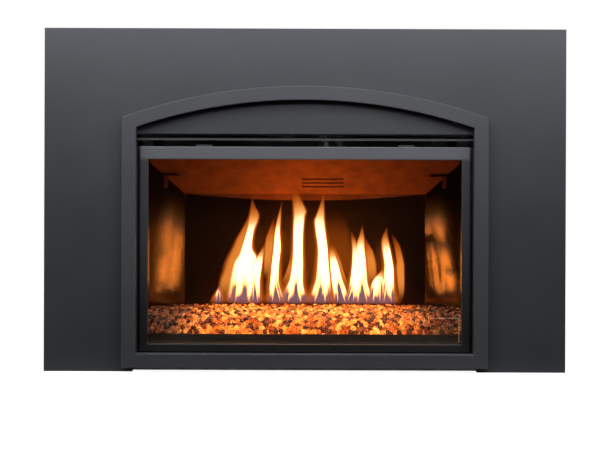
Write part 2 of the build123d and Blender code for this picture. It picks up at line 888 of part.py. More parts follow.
with BuildPart() as fire_glass_bed:
    with BuildSketch(Plane.YZ):
        with BuildLine():
            Polyline(
                (tray_front, tray_lip_top + media_heap),
                (tray_front, tray_toe_z),
                (tray_front + tray_toe_depth, tray_toe_z),
                (deck_front, deck_bottom),
                (tray_back - media_play, deck_bottom),
                (tray_back - media_play, deck_top + media_depth),
            )
            Spline(
                (tray_back - media_play, deck_top + media_depth),
                (burner_middle, deck_top + media_depth + media_heap),
                (deck_front, deck_top + media_depth - media_heap),
                (tray_front, tray_lip_top + media_heap),
            )
        make_face()
        add(folded_sheet(tray_path, tray_sheet), mode=Mode.SUBTRACT)
        with Locations((tray_front, tray_toe_z)):
            Rectangle(2 * (tray_sheet + media_play), 2 * media_cutter, mode=Mode.SUBTRACT)
    extrude(amount=firebox_half_width, both=True)
    with BuildSketch(Plane.XY.offset(floor_top)):
        add(outline_face(box_outline(-tray_play - media_play)))
    extrude(amount=ceiling_bottom - floor_top, mode=Mode.INTERSECT)
    with BuildSketch(Plane.XY.offset(deck_top)):
        with Locations((pilot_x, pilot_y)):
            SlotOverall(pilot_plate_length + 2 * pilot_well, pilot_plate_width + 2 * pilot_well)
    extrude(amount=media_cutter, mode=Mode.SUBTRACT)
fire_glass_bed.part.label = "fire_glass_bed"
export_step(fire_glass_bed.part, "parts/fire_glass_bed.step")

# ------------------------------------------------------------------ burner
burner_low = deck_bottom - burner_height
burner_depth = burner_back - burner_front
with BuildPart() as burner_box:
    with BuildSketch(Plane.XY.offset(burner_low)):
        with Locations((0, burner_middle)):
            RectangleRounded(2 * burner_half_width, burner_depth, burner_corner)
    extrude(amount=burner_height)
    with BuildSketch(Plane.XY.offset(deck_bottom - tray_sheet)):
        with Locations((0, burner_middle)):
            RectangleRounded(
                2 * (burner_half_width + burner_flange),
                burner_depth + 2 * burner_flange,
                burner_corner + burner_flange,
            )
    extrude(amount=tray_sheet)
    with BuildSketch(Plane.XY.offset(burner_low + tray_sheet)):
        with Locations((0, burner_middle)):
            RectangleRounded(
                2 * (burner_half_width - tray_sheet),
                burner_depth - 2 * tray_sheet,
                burner_corner - tray_sheet,
            )
    extrude(amount=burner_height, mode=Mode.SUBTRACT)
    with BuildSketch(side_plane(-burner_half_width - tray_sheet)):
        with Locations((burner_middle, venturi_z)):
            Circle(venturi_radius + venturi_wall + shutter_play)
    extrude(amount=3 * tray_sheet, mode=Mode.SUBTRACT)
burner_box.part.label = "burner_box"
export_step(burner_box.part, "parts/burner_box.step")

venturi_end = -burner_half_width + venturi_inside
venturi_mouth = venturi_end - venturi_length
venturi_axis = Axis((0, burner_middle, venturi_z), (1, 0, 0))
venturi_plane = Plane(origin=(0, burner_middle, venturi_z), x_dir=(1, 0, 0), z_dir=(0, -1, 0))


def cut_air_slots(start, length, reach):
    """Air slots round the mixing tube, cut outwards from its axis."""
    with BuildSketch(side_plane(start)) as slots:
        with Locations((burner_middle, venturi_z)):
            with PolarLocations(reach / 2, air_slot_count, start_angle=45):
                Rectangle(reach, air_slot_width)
    extrude(slots.sketch, amount=length, mode=Mode.SUBTRACT)


with BuildPart() as venturi:
    with BuildSketch(venturi_plane):
        with BuildLine():
            Polyline(
                (venturi_mouth, venturi_radius),
                (venturi_mouth, venturi_radius + venturi_wall),
                (venturi_end, venturi_radius + venturi_wall),
                (venturi_end, venturi_radius),
            )
            ThreePointArc(
                (venturi_end, venturi_radius),
                ((venturi_end + venturi_mouth) / 2, venturi_radius - venturi_waist),
                (venturi_mouth, venturi_radius),
            )
        make_face()
    revolve(axis=venturi_axis)
    cut_air_slots(venturi_mouth + shutter_margin, air_slot_length, 2 * venturi_radius)
venturi.part.label = "venturi"
export_step(venturi.part, "parts/venturi.step")

shutter_start = venturi_mouth + shutter_margin - (shutter_length - air_slot_length) / 2
shutter_inner = venturi_radius + venturi_wall + shutter_play
shutter_outer = shutter_inner + shutter_wall
with BuildPart() as air_shutter:
    with BuildSketch(side_plane(shutter_start)):
        with Locations((burner_middle, venturi_z)):
            Circle(shutter_outer)
    extrude(amount=shutter_length)
    with BuildSketch(side_plane(shutter_start + (shutter_length - shutter_lever_width) / 2)):
        with Locations((burner_middle - (shutter_outer + shutter_lever) / 2, venturi_z)):
            Rectangle(shutter_outer + shutter_lever, shutter_wall)
    extrude(amount=shutter_lever_width)
    with BuildSketch(side_plane(shutter_start)):
        with Locations((burner_middle, venturi_z)):
            Circle(shutter_inner)
    extrude(amount=shutter_length, mode=Mode.SUBTRACT)
    cut_air_slots(venturi_mouth + shutter_margin, air_slot_length, 2 * shutter_outer)
air_shutter.part.label = "air_shutter"
export_step(air_shutter.part, "parts/air_shutter.step")

orifice_tip = venturi_mouth - orifice_gap
orifice_seat = orifice_tip - orifice_nose - orifice_length
with BuildPart() as orifice:
    with BuildSketch(side_plane(orifice_seat)):
        with Locations((burner_middle, venturi_z)):
            RegularPolygon(orifice_hex_radius, 6)
    extrude(amount=orifice_length)
    with BuildSketch(venturi_plane):
        with BuildLine():
            Polyline(
                (orifice_tip - orifice_nose, 0),
                (orifice_tip - orifice_nose, orifice_hex_radius / 2),
                (orifice_tip, orifice_hex_radius / 3),
                (orifice_tip, 0),
                close=True,
            )
        make_face()
    revolve(axis=venturi_axis)
    with BuildSketch(side_plane(orifice_tip - orifice_nose)):
        with Locations((burner_middle, venturi_z)):
            Circle(orifice_bore)
    extrude(amount=orifice_nose, mode=Mode.SUBTRACT)
orifice.part.label = "orifice"
export_step(orifice.part, "parts/orifice.step")


def bent_tube(points, radius, bend):
    """Round tube along straight runs that are joined by bends of one radius."""
    with BuildPart() as tube:
        with BuildLine() as path:
            FilletPolyline(*points, radius=bend)
        with BuildSketch(Plane(origin=path.line @ 0, z_dir=path.line % 0)):
            Circle(radius)
        sweep()
    return tube.part


def add_tube_nut(x, z, radius):
    """Hexagonal nut round a tube where it leaves the back of the gas valve."""
    with BuildSketch(facing_plane(valve_back)) as nut:
        with Locations((x, z)):
            RegularPolygon(radius, 6)
    extrude(nut.sketch, amount=-tube_nut_length)


with BuildPart() as manifold_tube:
    add(bent_tube(
        [
            (manifold_x, valve_back, manifold_z),
            (manifold_x, burner_middle, manifold_z),
            (manifold_x, burner_middle, venturi_z),
            (orifice_seat, burner_middle, venturi_z),
        ],
        gas_tube_radius,
        manifold_bend,
    ))
    add_tube_nut(manifold_x, manifold_z, manifold_nut_radius)
manifold_tube.part.label = "manifold_tube"
export_step(manifold_tube.part, "parts/manifold_tube.step")

# ------------------------------------------------------------------ pilot assembly
pilot_hood_low = pilot_top - pilot_hood_height
pilot_profile = Plane(origin=(pilot_x, pilot_y, 0), x_dir=(1, 0, 0), z_dir=(0, -1, 0))
with BuildPart() as pilot_burner:
    with BuildSketch(Plane.XY.offset(deck_top)):
        with Locations((pilot_x, pilot_y)):
            RectangleRounded(pilot_plate_length, pilot_plate_width, pilot_seat)
            with GridLocations(2 * pilot_spread, 0, 2, 1):
                Circle(electrode_body_radius + electrode_play, mode=Mode.SUBTRACT)
    extrude(amount=tray_sheet)
    with BuildSketch(pilot_profile):
        with BuildLine():
            Polyline(
                (0, deck_top + tray_sheet),
                (pilot_hood_radius, deck_top + tray_sheet),
                (pilot_hood_radius, deck_top + 3 * tray_sheet),
                (2 * pilot_tube_radius, deck_top + 3 * tray_sheet),
                (2 * pilot_tube_radius, pilot_hood_low),
                (pilot_hood_radius, pilot_hood_low),
                (pilot_hood_radius, pilot_top - tray_sheet),
                (pilot_hood_radius - tray_sheet, pilot_top),
                (0, pilot_top),
                close=True,
            )
        make_face()
    revolve(axis=Axis((pilot_x, pilot_y, 0), (0, 0, 1)))
    # Two slots throw the pilot flame at the sensor and at the burner
    with BuildSketch(Plane.XY.offset(pilot_hood_low + tray_sheet)):
        with Locations((pilot_x, pilot_y)):
            Rectangle(2 * pilot_hood_radius, 2 * pilot_tube_radius)
            with Locations((0, -pilot_hood_radius / 2)):
                Rectangle(2 * pilot_tube_radius, pilot_hood_radius)
    extrude(amount=pilot_hood_height / 2, mode=Mode.SUBTRACT)
    with BuildSketch(Plane.XY.offset(deck_top)):
        with Locations((pilot_x, pilot_y)):
            Circle(pilot_tube_radius + electrode_play)
    extrude(amount=2 * tray_sheet, mode=Mode.SUBTRACT)
pilot_burner.part.label = "pilot_burner"
export_step(pilot_burner.part, "parts/pilot_burner.step")

with BuildPart() as pilot_tube:
    add(bent_tube(
        [
            (pilot_line_x, valve_back, pilot_line_z),
            (pilot_line_x, pilot_line_y, pilot_line_z),
            (pilot_x, pilot_line_y, pilot_line_z),
            (pilot_x, pilot_y, pilot_line_z),
            (pilot_x, pilot_y, deck_top + 2 * tray_sheet),
        ],
        pilot_tube_radius,
        pilot_bend,
    ))
    add_tube_nut(pilot_line_x, pilot_line_z, pilot_nut_radius)
pilot_tube.part.label = "pilot_tube"
export_step(pilot_tube.part, "parts/pilot_tube.step")

for rod_name, side in (("spark_electrode", -1), ("flame_sensor", 1)):
    rod_x = pilot_x + side * pilot_spread
    with BuildPart() as rod:
        with BuildSketch(Plane.XY.offset(deck_top - electrode_body_length / 2)):
            with Locations((rod_x, pilot_y)):
                Circle(electrode_body_radius)
        extrude(amount=electrode_body_length)
        chamfer(rod.edges().filter_by(GeomType.CIRCLE), length=electrode_radius / 2)
        add(bent_tube(
            [
                (rod_x, pilot_y, deck_top),
                (rod_x, pilot_y, pilot_hood_low),
                (rod_x - side * electrode_lean, pilot_y, pilot_top),
            ],
            electrode_radius,
            2 * electrode_radius,
        ))
    rod.part.label = rod_name
    export_step(rod.part, f"parts/{rod_name}.step")

# ------------------------------------------------------------------ casing
with BuildPart() as casing_base:
    with BuildSketch(Plane.XY):
        add(outline_face(casing_outline(box_sheet)))
        with Locations((0, anchor_front + anchor_spread_y / 2)):
            with GridLocations(anchor_spread_x, anchor_spread_y, 2, 2):
                Circle(anchor_radius, mode=Mode.SUBTRACT)
    extrude(amount=box_sheet)
    with BuildSketch(Plane.XY.offset(base_top)):
        add(outline_face(casing_outline(0)))
        add(outline_face(casing_outline(-box_sheet)), mode=Mode.SUBTRACT)
        with Locations((0, front_plate_back)):
            Rectangle(2 * casing_half_width, 2 * (box_sheet + casing_flange_play), mode=Mode.SUBTRACT)
    extrude(amount=base_upturn)
    with BuildSketch(Plane.XY.offset(base_top)):
        with Locations((0, front_plate_back + box_sheet / 2)):
            Rectangle(2 * (casing_mouth - casing_flange_play), box_sheet)
    extrude(amount=base_lip)
    # Four folded legs, welded down, carry the firebox floor
    for x, y in ((front_leg_x, front_leg_y), (rear_leg_x, rear_leg_y)):
        leg_path = [
            (y - leg_foot, base_top),
            (y, base_top),
            (y, floor_bottom - box_sheet),
            (y + leg_foot, floor_bottom - box_sheet),
        ]
        for side in (-1, 1):
            with BuildSketch(side_plane(side * x)):
                add(folded_sheet(leg_path, box_sheet))
            extrude(amount=leg_width / 2, both=True)
casing_base.part.label = "casing_base"
export_step(casing_base.part, "parts/casing_base.step")

side_screws = [
    (bracket_screw_y, bracket_bottom + bracket_screw_margin),
    (bracket_screw_y, bracket_top - bracket_screw_margin),
    (lid_screw_front, casing_wall_top - lid_skirt / 2),
    (lid_screw_front + lid_screw_pitch, casing_wall_top - lid_skirt / 2),
]


def cut_screw_holes(places):
    """Clearance holes through both side walls."""
    with BuildSketch(side_plane(0)) as holes:
        with Locations(*places):
            Circle(screw_radius + screw_play)
    extrude(holes.sketch, amount=surround_width / 2, both=True, mode=Mode.SUBTRACT)


with BuildPart() as casing_wrap:
    with BuildSketch(Plane.XY.offset(base_top)):
        add(outline_face(casing_outline(box_sheet)))
        add(outline_face(casing_outline(0)), mode=Mode.SUBTRACT)
        for side in (-1, 1):
            with Locations((side * (casing_mouth + casing_flange / 2), front_plate_back + box_sheet / 2)):
                Rectangle(casing_flange, box_sheet)
    extrude(amount=casing_wall_top - base_top)
    cut_screw_holes(side_screws)
    with BuildSketch(side_plane(-casing_half_width - box_sheet)):
        with Locations((inlet_y, inlet_z)):
            Circle(inlet_neck_radius + screw_play)
    extrude(amount=3 * box_sheet, mode=Mode.SUBTRACT)
casing_wrap.part.label = "casing_wrap"
export_step(casing_wrap.part, "parts/casing_wrap.step")

# The skirt is a band of its own, spot-welded under the lid's slanted and straight edges
with BuildPart() as casing_lid:
    with BuildSketch(Plane.XY.offset(casing_wall_top)):
        add(outline_face(casing_outline(2 * box_sheet)))
        with Locations((exhaust_x, collar_y), (intake_x, collar_y)):
            Circle(collar_radius + collar_hole_play, mode=Mode.SUBTRACT)
    extrude(amount=box_sheet)
    with BuildSketch(Plane.XY.offset(casing_wall_top - lid_skirt)):
        add(outline_face(casing_outline(2 * box_sheet)))
        add(outline_face(casing_outline(box_sheet)), mode=Mode.SUBTRACT)
    extrude(amount=lid_skirt - lid_skirt_seam)
    with BuildSketch(Plane.XY.offset(casing_wall_top - lid_drop)):
        with Locations((0, front_plate_back + box_sheet / 2)):
            Rectangle(2 * (casing_mouth - casing_flange_play), box_sheet)
    extrude(amount=lid_drop)
    cut_screw_holes(side_screws)
casing_lid.part.label = "casing_lid"
export_step(casing_lid.part, "parts/casing_lid.step")

bracket_path = [
    (casing_half_width, bracket_reach + surround_back_skin),
    (casing_half_width, surround_back_skin),
    (casing_half_width + bracket_leg, surround_back_skin),
]
with BuildPart() as surround_brackets:
    with BuildSketch(Plane.XY.offset(bracket_bottom)):
        add(folded_sheet(bracket_path, box_sheet))
        mirror(about=Plane.YZ)
    extrude(amount=bracket_top - bracket_bottom)
    cut_screw_holes(side_screws)
surround_brackets.part.label = "surround_brackets"
export_step(surround_brackets.part, "parts/surround_brackets.step")

screw_face = casing_half_width + box_sheet
with BuildPart() as casing_screws:
    for side in (-1, 1):
        with BuildSketch(side_plane(side * screw_face)):
            with Locations(*side_screws):
                Circle(screw_head_radius)
        extrude(amount=side * screw_head)
        with BuildSketch(side_plane(side * screw_face)):
            with Locations(*side_screws):
                Circle(screw_radius)
        extrude(amount=-side * (2 * box_sheet + screw_tail))
casing_screws.part.label = "casing_screws"
export_step(casing_screws.part, "parts/casing_screws.step")

blade_top = louvre_height + louvre_lip / 2
blade_slope = louvre_rise / (louvre_back - louvre_front - box_sheet)
louvre_leg_top = blade_top + blade_slope * (louvre_leg_y - louvre_front) + box_sheet / 2
louvre_path = [
    (louvre_front + box_sheet, louvre_height - louvre_lip / 2),
    (louvre_front + box_sheet, blade_top),
    (louvre_back, blade_top + louvre_rise),
]
louvre_leg_path = [
    (louvre_leg_y - louvre_foot, ceiling_top),
    (louvre_leg_y, ceiling_top),
    (louvre_leg_y, louvre_leg_top),
]
with BuildPart() as outlet_louvre:
    with BuildSketch(Plane.YZ):
        add(folded_sheet(louvre_path, box_sheet))
    extrude(amount=louvre_width / 2, both=True)
    for side in (-1, 1):
        with BuildSketch(side_plane(side * louvre_leg_x)):
            add(folded_sheet(louvre_leg_path, box_sheet))
        extrude(amount=louvre_leg_width / 2, both=True)
outlet_louvre.part.label = "outlet_louvre"
export_step(outlet_louvre.part, "parts/outlet_louvre.step")

# ------------------------------------------------------------------ vent collars, intake duct and flue restrictor
duct_arm_front = collar_y - collar_radius - collar_flange - duct_sheet
duct_back = duct_front_face + duct_depth


def duct_section(inset):
    """Side view of the intake duct: an arm over the firebox and a leg down its back."""
    return [
        (duct_arm_front + inset, ceiling_top + inset),
        (duct_front_face + inset, ceiling_top + inset),
        (duct_front_face + inset, duct_bottom + inset),
        (duct_back - inset, duct_bottom + inset),
        (duct_back - inset, duct_top - inset),
        (duct_arm_front + inset, duct_top - inset),
    ]


with BuildPart() as intake_duct:
    with BuildSketch(side_plane(intake_x)):
        add(outline_face(duct_section(0)))
    extrude(amount=duct_half_width, both=True)
    with BuildSketch(side_plane(intake_x)):
        add(outline_face(duct_section(duct_sheet)))
    extrude(amount=duct_half_width - duct_sheet, both=True, mode=Mode.SUBTRACT)
    cut_air_port(duct_front_face, 2 * duct_sheet)
    with BuildSketch(Plane.XY.offset(duct_top - 2 * duct_sheet)):
        with Locations((intake_x, collar_y)):
            Circle(collar_radius + collar_hole_play)
    extrude(amount=3 * duct_sheet, mode=Mode.SUBTRACT)
intake_duct.part.label = "intake_duct"
export_step(intake_duct.part, "parts/intake_duct.step")

bead_z = casing_height + collar_bead_up
for collar_name, collar_x, collar_foot in (
    ("exhaust_collar", exhaust_x, ceiling_top),
    ("intake_collar", intake_x, duct_top),
):
    collar_plane = Plane(origin=(collar_x, collar_y, 0), x_dir=(1, 0, 0), z_dir=(0, -1, 0))
    inner = collar_radius - collar_wall
    with BuildPart() as collar:
        with BuildSketch(collar_plane):
            with BuildLine():
                Polyline(
                    (collar_radius, bead_z - collar_bead),
                    (collar_radius, collar_foot + box_sheet),
                    (collar_radius + collar_flange, collar_foot + box_sheet),
                    (collar_radius + collar_flange, collar_foot),
                    (inner, collar_foot),
                    (inner, collar_top),
                    (collar_radius, collar_top),
                    (collar_radius, bead_z + collar_bead),
                )
                ThreePointArc(
                    (collar_radius, bead_z + collar_bead),
                    (collar_radius + collar_bead, bead_z),
                    (collar_radius, bead_z - collar_bead),
                )
            make_face()
        revolve(axis=Axis((collar_x, collar_y, 0), (0, 0, 1)))
    collar.part.label = collar_name
    export_step(collar.part, f"parts/{collar_name}.step")

restrictor_z = ceiling_bottom - restrictor_play - restrictor_sheet
with BuildPart() as flue_restrictor:
    with BuildSketch(Plane.XY.offset(restrictor_z)):
        with Locations((restrictor_start + restrictor_length / 2, collar_y)):
            RectangleRounded(restrictor_length, restrictor_width, restrictor_play + restrictor_sheet)
    extrude(amount=restrictor_sheet)
    with BuildSketch(side_plane(restrictor_start)):
        with Locations((collar_y, restrictor_z - restrictor_grip / 2)):
            Rectangle(restrictor_grip, restrictor_grip)
    extrude(amount=restrictor_sheet)
flue_restrictor.part.label = "flue_restrictor"
export_step(flue_restrictor.part, "parts/flue_restrictor.step")

# ------------------------------------------------------------------ gas controls
gas_knob_x = gas_panel_x - knob_spacing / 2
flame_knob_x = gas_panel_x + knob_spacing / 2
speed_knob_x = bay_panel_x - knob_spacing / 2
switch_x = bay_panel_x + knob_spacing / 2
panel_path = [
    (panel_front, base_top + bay_panel_height),
    (panel_front, base_top),
    (panel_front + bay_panel_foot, base_top),
]


def cut_stem_holes(places):
    """Clearance holes for the control stems."""
    with BuildSketch(facing_plane(panel_front)) as holes:
        with Locations(*[(x, bay_axis_z) for x in places]):
            Circle(stem_radius + panel_hole_play)
    extrude(holes.sketch, amount=-bay_sheet, mode=Mode.SUBTRACT)


with BuildPart() as gas_panel:
    with BuildSketch(side_plane(gas_panel_x)):
        add(folded_sheet(panel_path, bay_sheet))
    extrude(amount=bay_panel_width / 2, both=True)
    cut_stem_holes((gas_knob_x, flame_knob_x))
gas_panel.part.label = "gas_panel"
export_step(gas_panel.part, "parts/gas_panel.step")

valve_low = base_top + valve_foot
with BuildPart() as gas_valve:
    with BuildSketch(Plane.XY.offset(valve_low)):
        with Locations((gas_panel_x, (valve_front + valve_back) / 2)):
            RectangleRounded(valve_width, valve_depth, valve_fillet)
    extrude(amount=valve_height)
    top_edges = gas_valve.faces().sort_by(Axis.Z)[-1].edges()
    fillet(top_edges, radius=valve_fillet / 2)
    with BuildSketch(Plane.XY.offset(valve_low + valve_height)):
        with Locations((gas_panel_x, (valve_front + valve_back) / 2)):
            with GridLocations(knob_spacing, 0, 2, 1):
                Circle(tower_radius)
    extrude(amount=tower_height, taper=tower_taper)
    with BuildSketch(Plane.XY.offset(base_top)):
        with Locations((gas_panel_x, (valve_front + valve_back) / 2)):
            with GridLocations(valve_width - 4 * valve_fillet, valve_depth - 4 * valve_fillet, 2, 2):
                Circle(valve_fillet)
    extrude(amount=valve_foot)
    with BuildSketch(facing_plane(valve_front)):
        with Locations((gas_knob_x, bay_axis_z), (flame_knob_x, bay_axis_z)):
            Circle(valve_boss_radius)
    extrude(amount=valve_boss_length)
    with BuildSketch(facing_plane(valve_front - valve_boss_length)):
        with Locations((gas_knob_x, bay_axis_z), (flame_knob_x, bay_axis_z)):
            Circle(stem_radius + stem_play)
    extrude(amount=-stem_seat - stem_end_play, mode=Mode.SUBTRACT)
gas_valve.part.label = "gas_valve"
export_step(gas_valve.part, "parts/gas_valve.step")


def control_knob(x, stem_end):
    """Ribbed round knob with its stem, turning about an axis that runs front to back."""
    front = knob_back - knob_length
    with BuildPart() as knob:
        with BuildSketch(facing_plane(knob_back)):
            with Locations((x, bay_axis_z)):
                Circle(knob_radius - knob_rib_radius / 2)
                with PolarLocations(knob_radius - knob_rib_radius, knob_ribs):
                    Circle(knob_rib_radius)
        extrude(amount=knob_length)
        front_edges = knob.edges().filter_by_position(Axis.Y, front, front)
        chamfer(front_edges, length=knob_bevel)
        # A groove across the front shows which way the knob points
        with BuildSketch(facing_plane(front)):
            with Locations((x, bay_axis_z + knob_radius / 2)):
                Rectangle(knob_groove, knob_radius)
        extrude(amount=-knob_groove, mode=Mode.SUBTRACT)
        with BuildSketch(facing_plane(knob_back)):
            with Locations((x, bay_axis_z)):
                Circle(stem_radius)
        extrude(amount=-(stem_end - knob_back))
    return knob.part


valve_stem_end = valve_front - valve_boss_length + stem_seat
speed_stem_end = bay_back + stem_seat
for knob_name, knob_x, stem_end in (
    ("gas_knob", gas_knob_x, valve_stem_end),
    ("flame_knob", flame_knob_x, valve_stem_end),
    ("speed_knob", speed_knob_x, speed_stem_end),
):
    with BuildPart() as knob_piece:
        add(control_knob(knob_x, stem_end))
    knob_piece.part.label = knob_name
    export_step(knob_piece.part, f"parts/{knob_name}.step")

inlet_face = -casing_half_width - inlet_length
inlet_inner = -casing_half_width + inlet_neck
with BuildPart() as gas_inlet:
    with BuildSketch(side_plane(inlet_face)):
        with Locations((inlet_y, inlet_z)):
            RegularPolygon(inlet_hex_radius, 6)
    extrude(amount=inlet_length)
    with BuildSketch(side_plane(-casing_half_width)):
        with Locations((inlet_y, inlet_z)):
            Circle(inlet_neck_radius)
    extrude(amount=inlet_neck)
    with BuildSketch(side_plane(inlet_face)):
        with Locations((inlet_y, inlet_z)):
            Circle(inlet_bore_radius)
    extrude(amount=inlet_bore_depth, mode=Mode.SUBTRACT)
gas_inlet.part.label = "gas_inlet"
export_step(gas_inlet.part, "parts/gas_inlet.step")

with BuildPart() as supply_tube:
    add(bent_tube(
        [
            (inlet_inner, inlet_y, inlet_z),
            (supply_x, inlet_y, inlet_z),
            (supply_x, valve_back, inlet_z),
        ],
        supply_tube_radius,
        supply_bend,
    ))
    add_tube_nut(supply_x, inlet_z, supply_nut_radius)
supply_tube.part.label = "supply_tube"
export_step(supply_tube.part, "parts/supply_tube.step")

# ------------------------------------------------------------------ electric controls
with BuildPart() as electric_panel:
    with BuildSketch(side_plane(bay_panel_x)):
        add(folded_sheet(panel_path, bay_sheet))
    extrude(amount=bay_panel_width / 2, both=True)
    cut_stem_holes((speed_knob_x,))
    with BuildSketch(facing_plane(panel_front)):
        with Locations((switch_x, bay_axis_z)):
            Rectangle(switch_width + 2 * rocker_play, switch_height + 2 * rocker_play)
    extrude(amount=-bay_sheet, mode=Mode.SUBTRACT)
electric_panel.part.label = "electric_panel"
export_step(electric_panel.part, "parts/electric_panel.step")

rocker_width = switch_width - 2 * switch_bezel
rocker_height = switch_height - 2 * switch_bezel
rocker_pivot_y = panel_front + rocker_pivot_depth
with BuildPart() as switch_body:
    with BuildSketch(facing_plane(panel_front)):
        with Locations((switch_x, bay_axis_z)):
            Rectangle(switch_width, switch_height)
    extrude(amount=-switch_depth)
    with BuildSketch(facing_plane(panel_front - switch_bezel)):
        with Locations((switch_x, bay_axis_z)):
            RectangleRounded(switch_width + 2 * switch_bezel, switch_height + 2 * switch_bezel, switch_bezel)
    extrude(amount=-switch_bezel)
    with BuildSketch(facing_plane(panel_front - switch_bezel)):
        with Locations((switch_x, bay_axis_z)):
            Rectangle(rocker_width + 2 * rocker_play, rocker_height + 2 * rocker_room)
    extrude(amount=-(switch_bezel + 2 * rocker_pivot_depth), mode=Mode.SUBTRACT)
switch_body.part.label = "switch_body"
export_step(switch_body.part, "parts/switch_body.step")

rocker_front = panel_front - switch_bezel - rocker_bulge
with BuildPart() as rocker:
    with BuildSketch(side_plane(switch_x)):
        with BuildLine():
            Polyline(
                (rocker_front, bay_axis_z + rocker_height / 2),
                (rocker_pivot_y, bay_axis_z + rocker_height / 2),
                (rocker_pivot_y + rocker_keel, bay_axis_z),
                (rocker_pivot_y, bay_axis_z - rocker_height / 2),
                (rocker_front, bay_axis_z - rocker_height / 2),
            )
            ThreePointArc(
                (rocker_front, bay_axis_z - rocker_height / 2),
                (rocker_front + rocker_bulge / 2, bay_axis_z),
                (rocker_front, bay_axis_z + rocker_height / 2),
            )
        make_face()
    extrude(amount=rocker_width / 2, both=True)
rocker.part.label = "rocker"
export_step(rocker.part, "parts/rocker.step")

with BuildPart() as speed_control:
    with BuildSketch(facing_plane(bay_back)):
        with Locations((speed_knob_x, bay_axis_z)):
            RectangleRounded(speed_body_size, speed_body_size, box_corner)
    extrude(amount=-speed_body_depth)
    with BuildSketch(facing_plane(bay_back)):
        with Locations((speed_knob_x, bay_axis_z)):
            Circle(stem_radius + stem_play)
    extrude(amount=-stem_seat - stem_end_play, mode=Mode.SUBTRACT)
speed_control.part.label = "speed_control"
export_step(speed_control.part, "parts/speed_control.step")


def small_housing(x, y, size):
    """Closed box on the casing base with rounded upright corners and a bevelled lid."""
    width, depth, height = size
    with BuildPart() as housing:
        with BuildSketch(Plane.XY.offset(base_top)):
            with Locations((x, y)):
                RectangleRounded(width, depth, box_corner)
        extrude(amount=height)
        chamfer(housing.faces().sort_by(Axis.Z)[-1].edges(), length=box_bevel)
    return housing.part


module_width, module_depth, module_height = module_size
with BuildPart() as ignition_module:
    add(small_housing(module_x, module_y, module_size))
    # A row of recessed terminals along the back
    with BuildSketch(facing_plane(module_y + module_depth / 2)):
        with Locations((module_x, base_top + module_height / 2)):
            with GridLocations(terminal_pitch, 0, terminal_count, 1):
                Rectangle(terminal_width, terminal_height)
    extrude(amount=terminal_depth, mode=Mode.SUBTRACT)
ignition_module.part.label = "ignition_module"
export_step(ignition_module.part, "parts/ignition_module.step")

junction_width, junction_depth, junction_height = junction_size
with BuildPart() as junction_box:
    add(small_housing(junction_x, junction_y, junction_size))
    # Pressed rings mark the knock-outs in the side towards the casing wall
    with BuildSketch(side_plane(junction_x + junction_width / 2)):
        with Locations((junction_y, base_top + junction_height / 2)):
            with GridLocations(junction_depth / 2, 0, 2, 1):
                Circle(knockout_radius)
                Circle(knockout_radius - knockout_groove, mode=Mode.SUBTRACT)
    extrude(amount=-knockout_depth, mode=Mode.SUBTRACT)
junction_box.part.label = "junction_box"
export_step(junction_box.part, "parts/junction_box.step")

# ------------------------------------------------------------------ cross-flow blower
rotor_left = blower_x - rotor_length / 2
rotor_right = blower_x + rotor_length / 2
plate_left = rotor_left - end_plate_gap
plate_right = rotor_right + end_plate_gap
scroll_rear = blower_y + scroll_radius + scroll_shift
tongue_y = blower_y - rotor_radius + tongue_gap
tongue_low = blower_z + tongue_rise
with BuildPart() as blower_rotor:
    with BuildSketch(side_plane(rotor_left)):
        with Locations((blower_y, blower_z)):
            with PolarLocations(0, rotor_blades):
                add(blade_section())
    extrude(amount=rotor_length)
    for disc_x in (rotor_left, blower_x - rotor_disc / 2, rotor_right - rotor_disc):
        with BuildSketch(side_plane(disc_x)):
            with Locations((blower_y, blower_z)):
                Circle(rotor_radius)
                Circle(shaft_radius, mode=Mode.SUBTRACT)
        extrude(amount=rotor_disc)
blower_rotor.part.label = "blower_rotor"
export_step(blower_rotor.part, "parts/blower_rotor.step")

shaft_left = plate_left - end_plate_sheet - motor_boss_length - shaft_motor_depth
shaft_right = plate_right + end_plate_sheet + bearing_length
with BuildPart() as rotor_shaft:
    with BuildSketch(side_plane(shaft_left)):
        with Locations((blower_y, blower_z)):
            Circle(shaft_radius)
    extrude(amount=shaft_right - shaft_left)
    chamfer(rotor_shaft.edges().filter_by(GeomType.CIRCLE), length=shaft_bevel)
rotor_shaft.part.label = "rotor_shaft"
export_step(rotor_shaft.part, "parts/rotor_shaft.step")

# The scroll wraps under and behind the rotor and opens upwards; the tongue closes its front side
with BuildPart() as blower_scroll:
    with BuildSketch(side_plane(plate_left)):
        with BuildLine():
            rear_wall = Line((scroll_rear, scroll_outlet_top), (scroll_rear, blower_z))
            JernArc(start=rear_wall @ 1, tangent=rear_wall % 1, radius=scroll_radius, arc_size=-scroll_sweep)
            offset(amount=scroll_sheet, side=Side.LEFT)
        make_face()
        with BuildLine():
            tongue = Line((tongue_y, scroll_outlet_top), (tongue_y, tongue_low))
            JernArc(start=tongue @ 1, tangent=tongue % 1, radius=tongue_lip_radius, arc_size=-tongue_curl)
            offset(amount=scroll_sheet, side=Side.RIGHT)
        make_face()
    extrude(amount=plate_right - plate_left)
blower_scroll.part.label = "blower_scroll"
export_step(blower_scroll.part, "parts/blower_scroll.step")

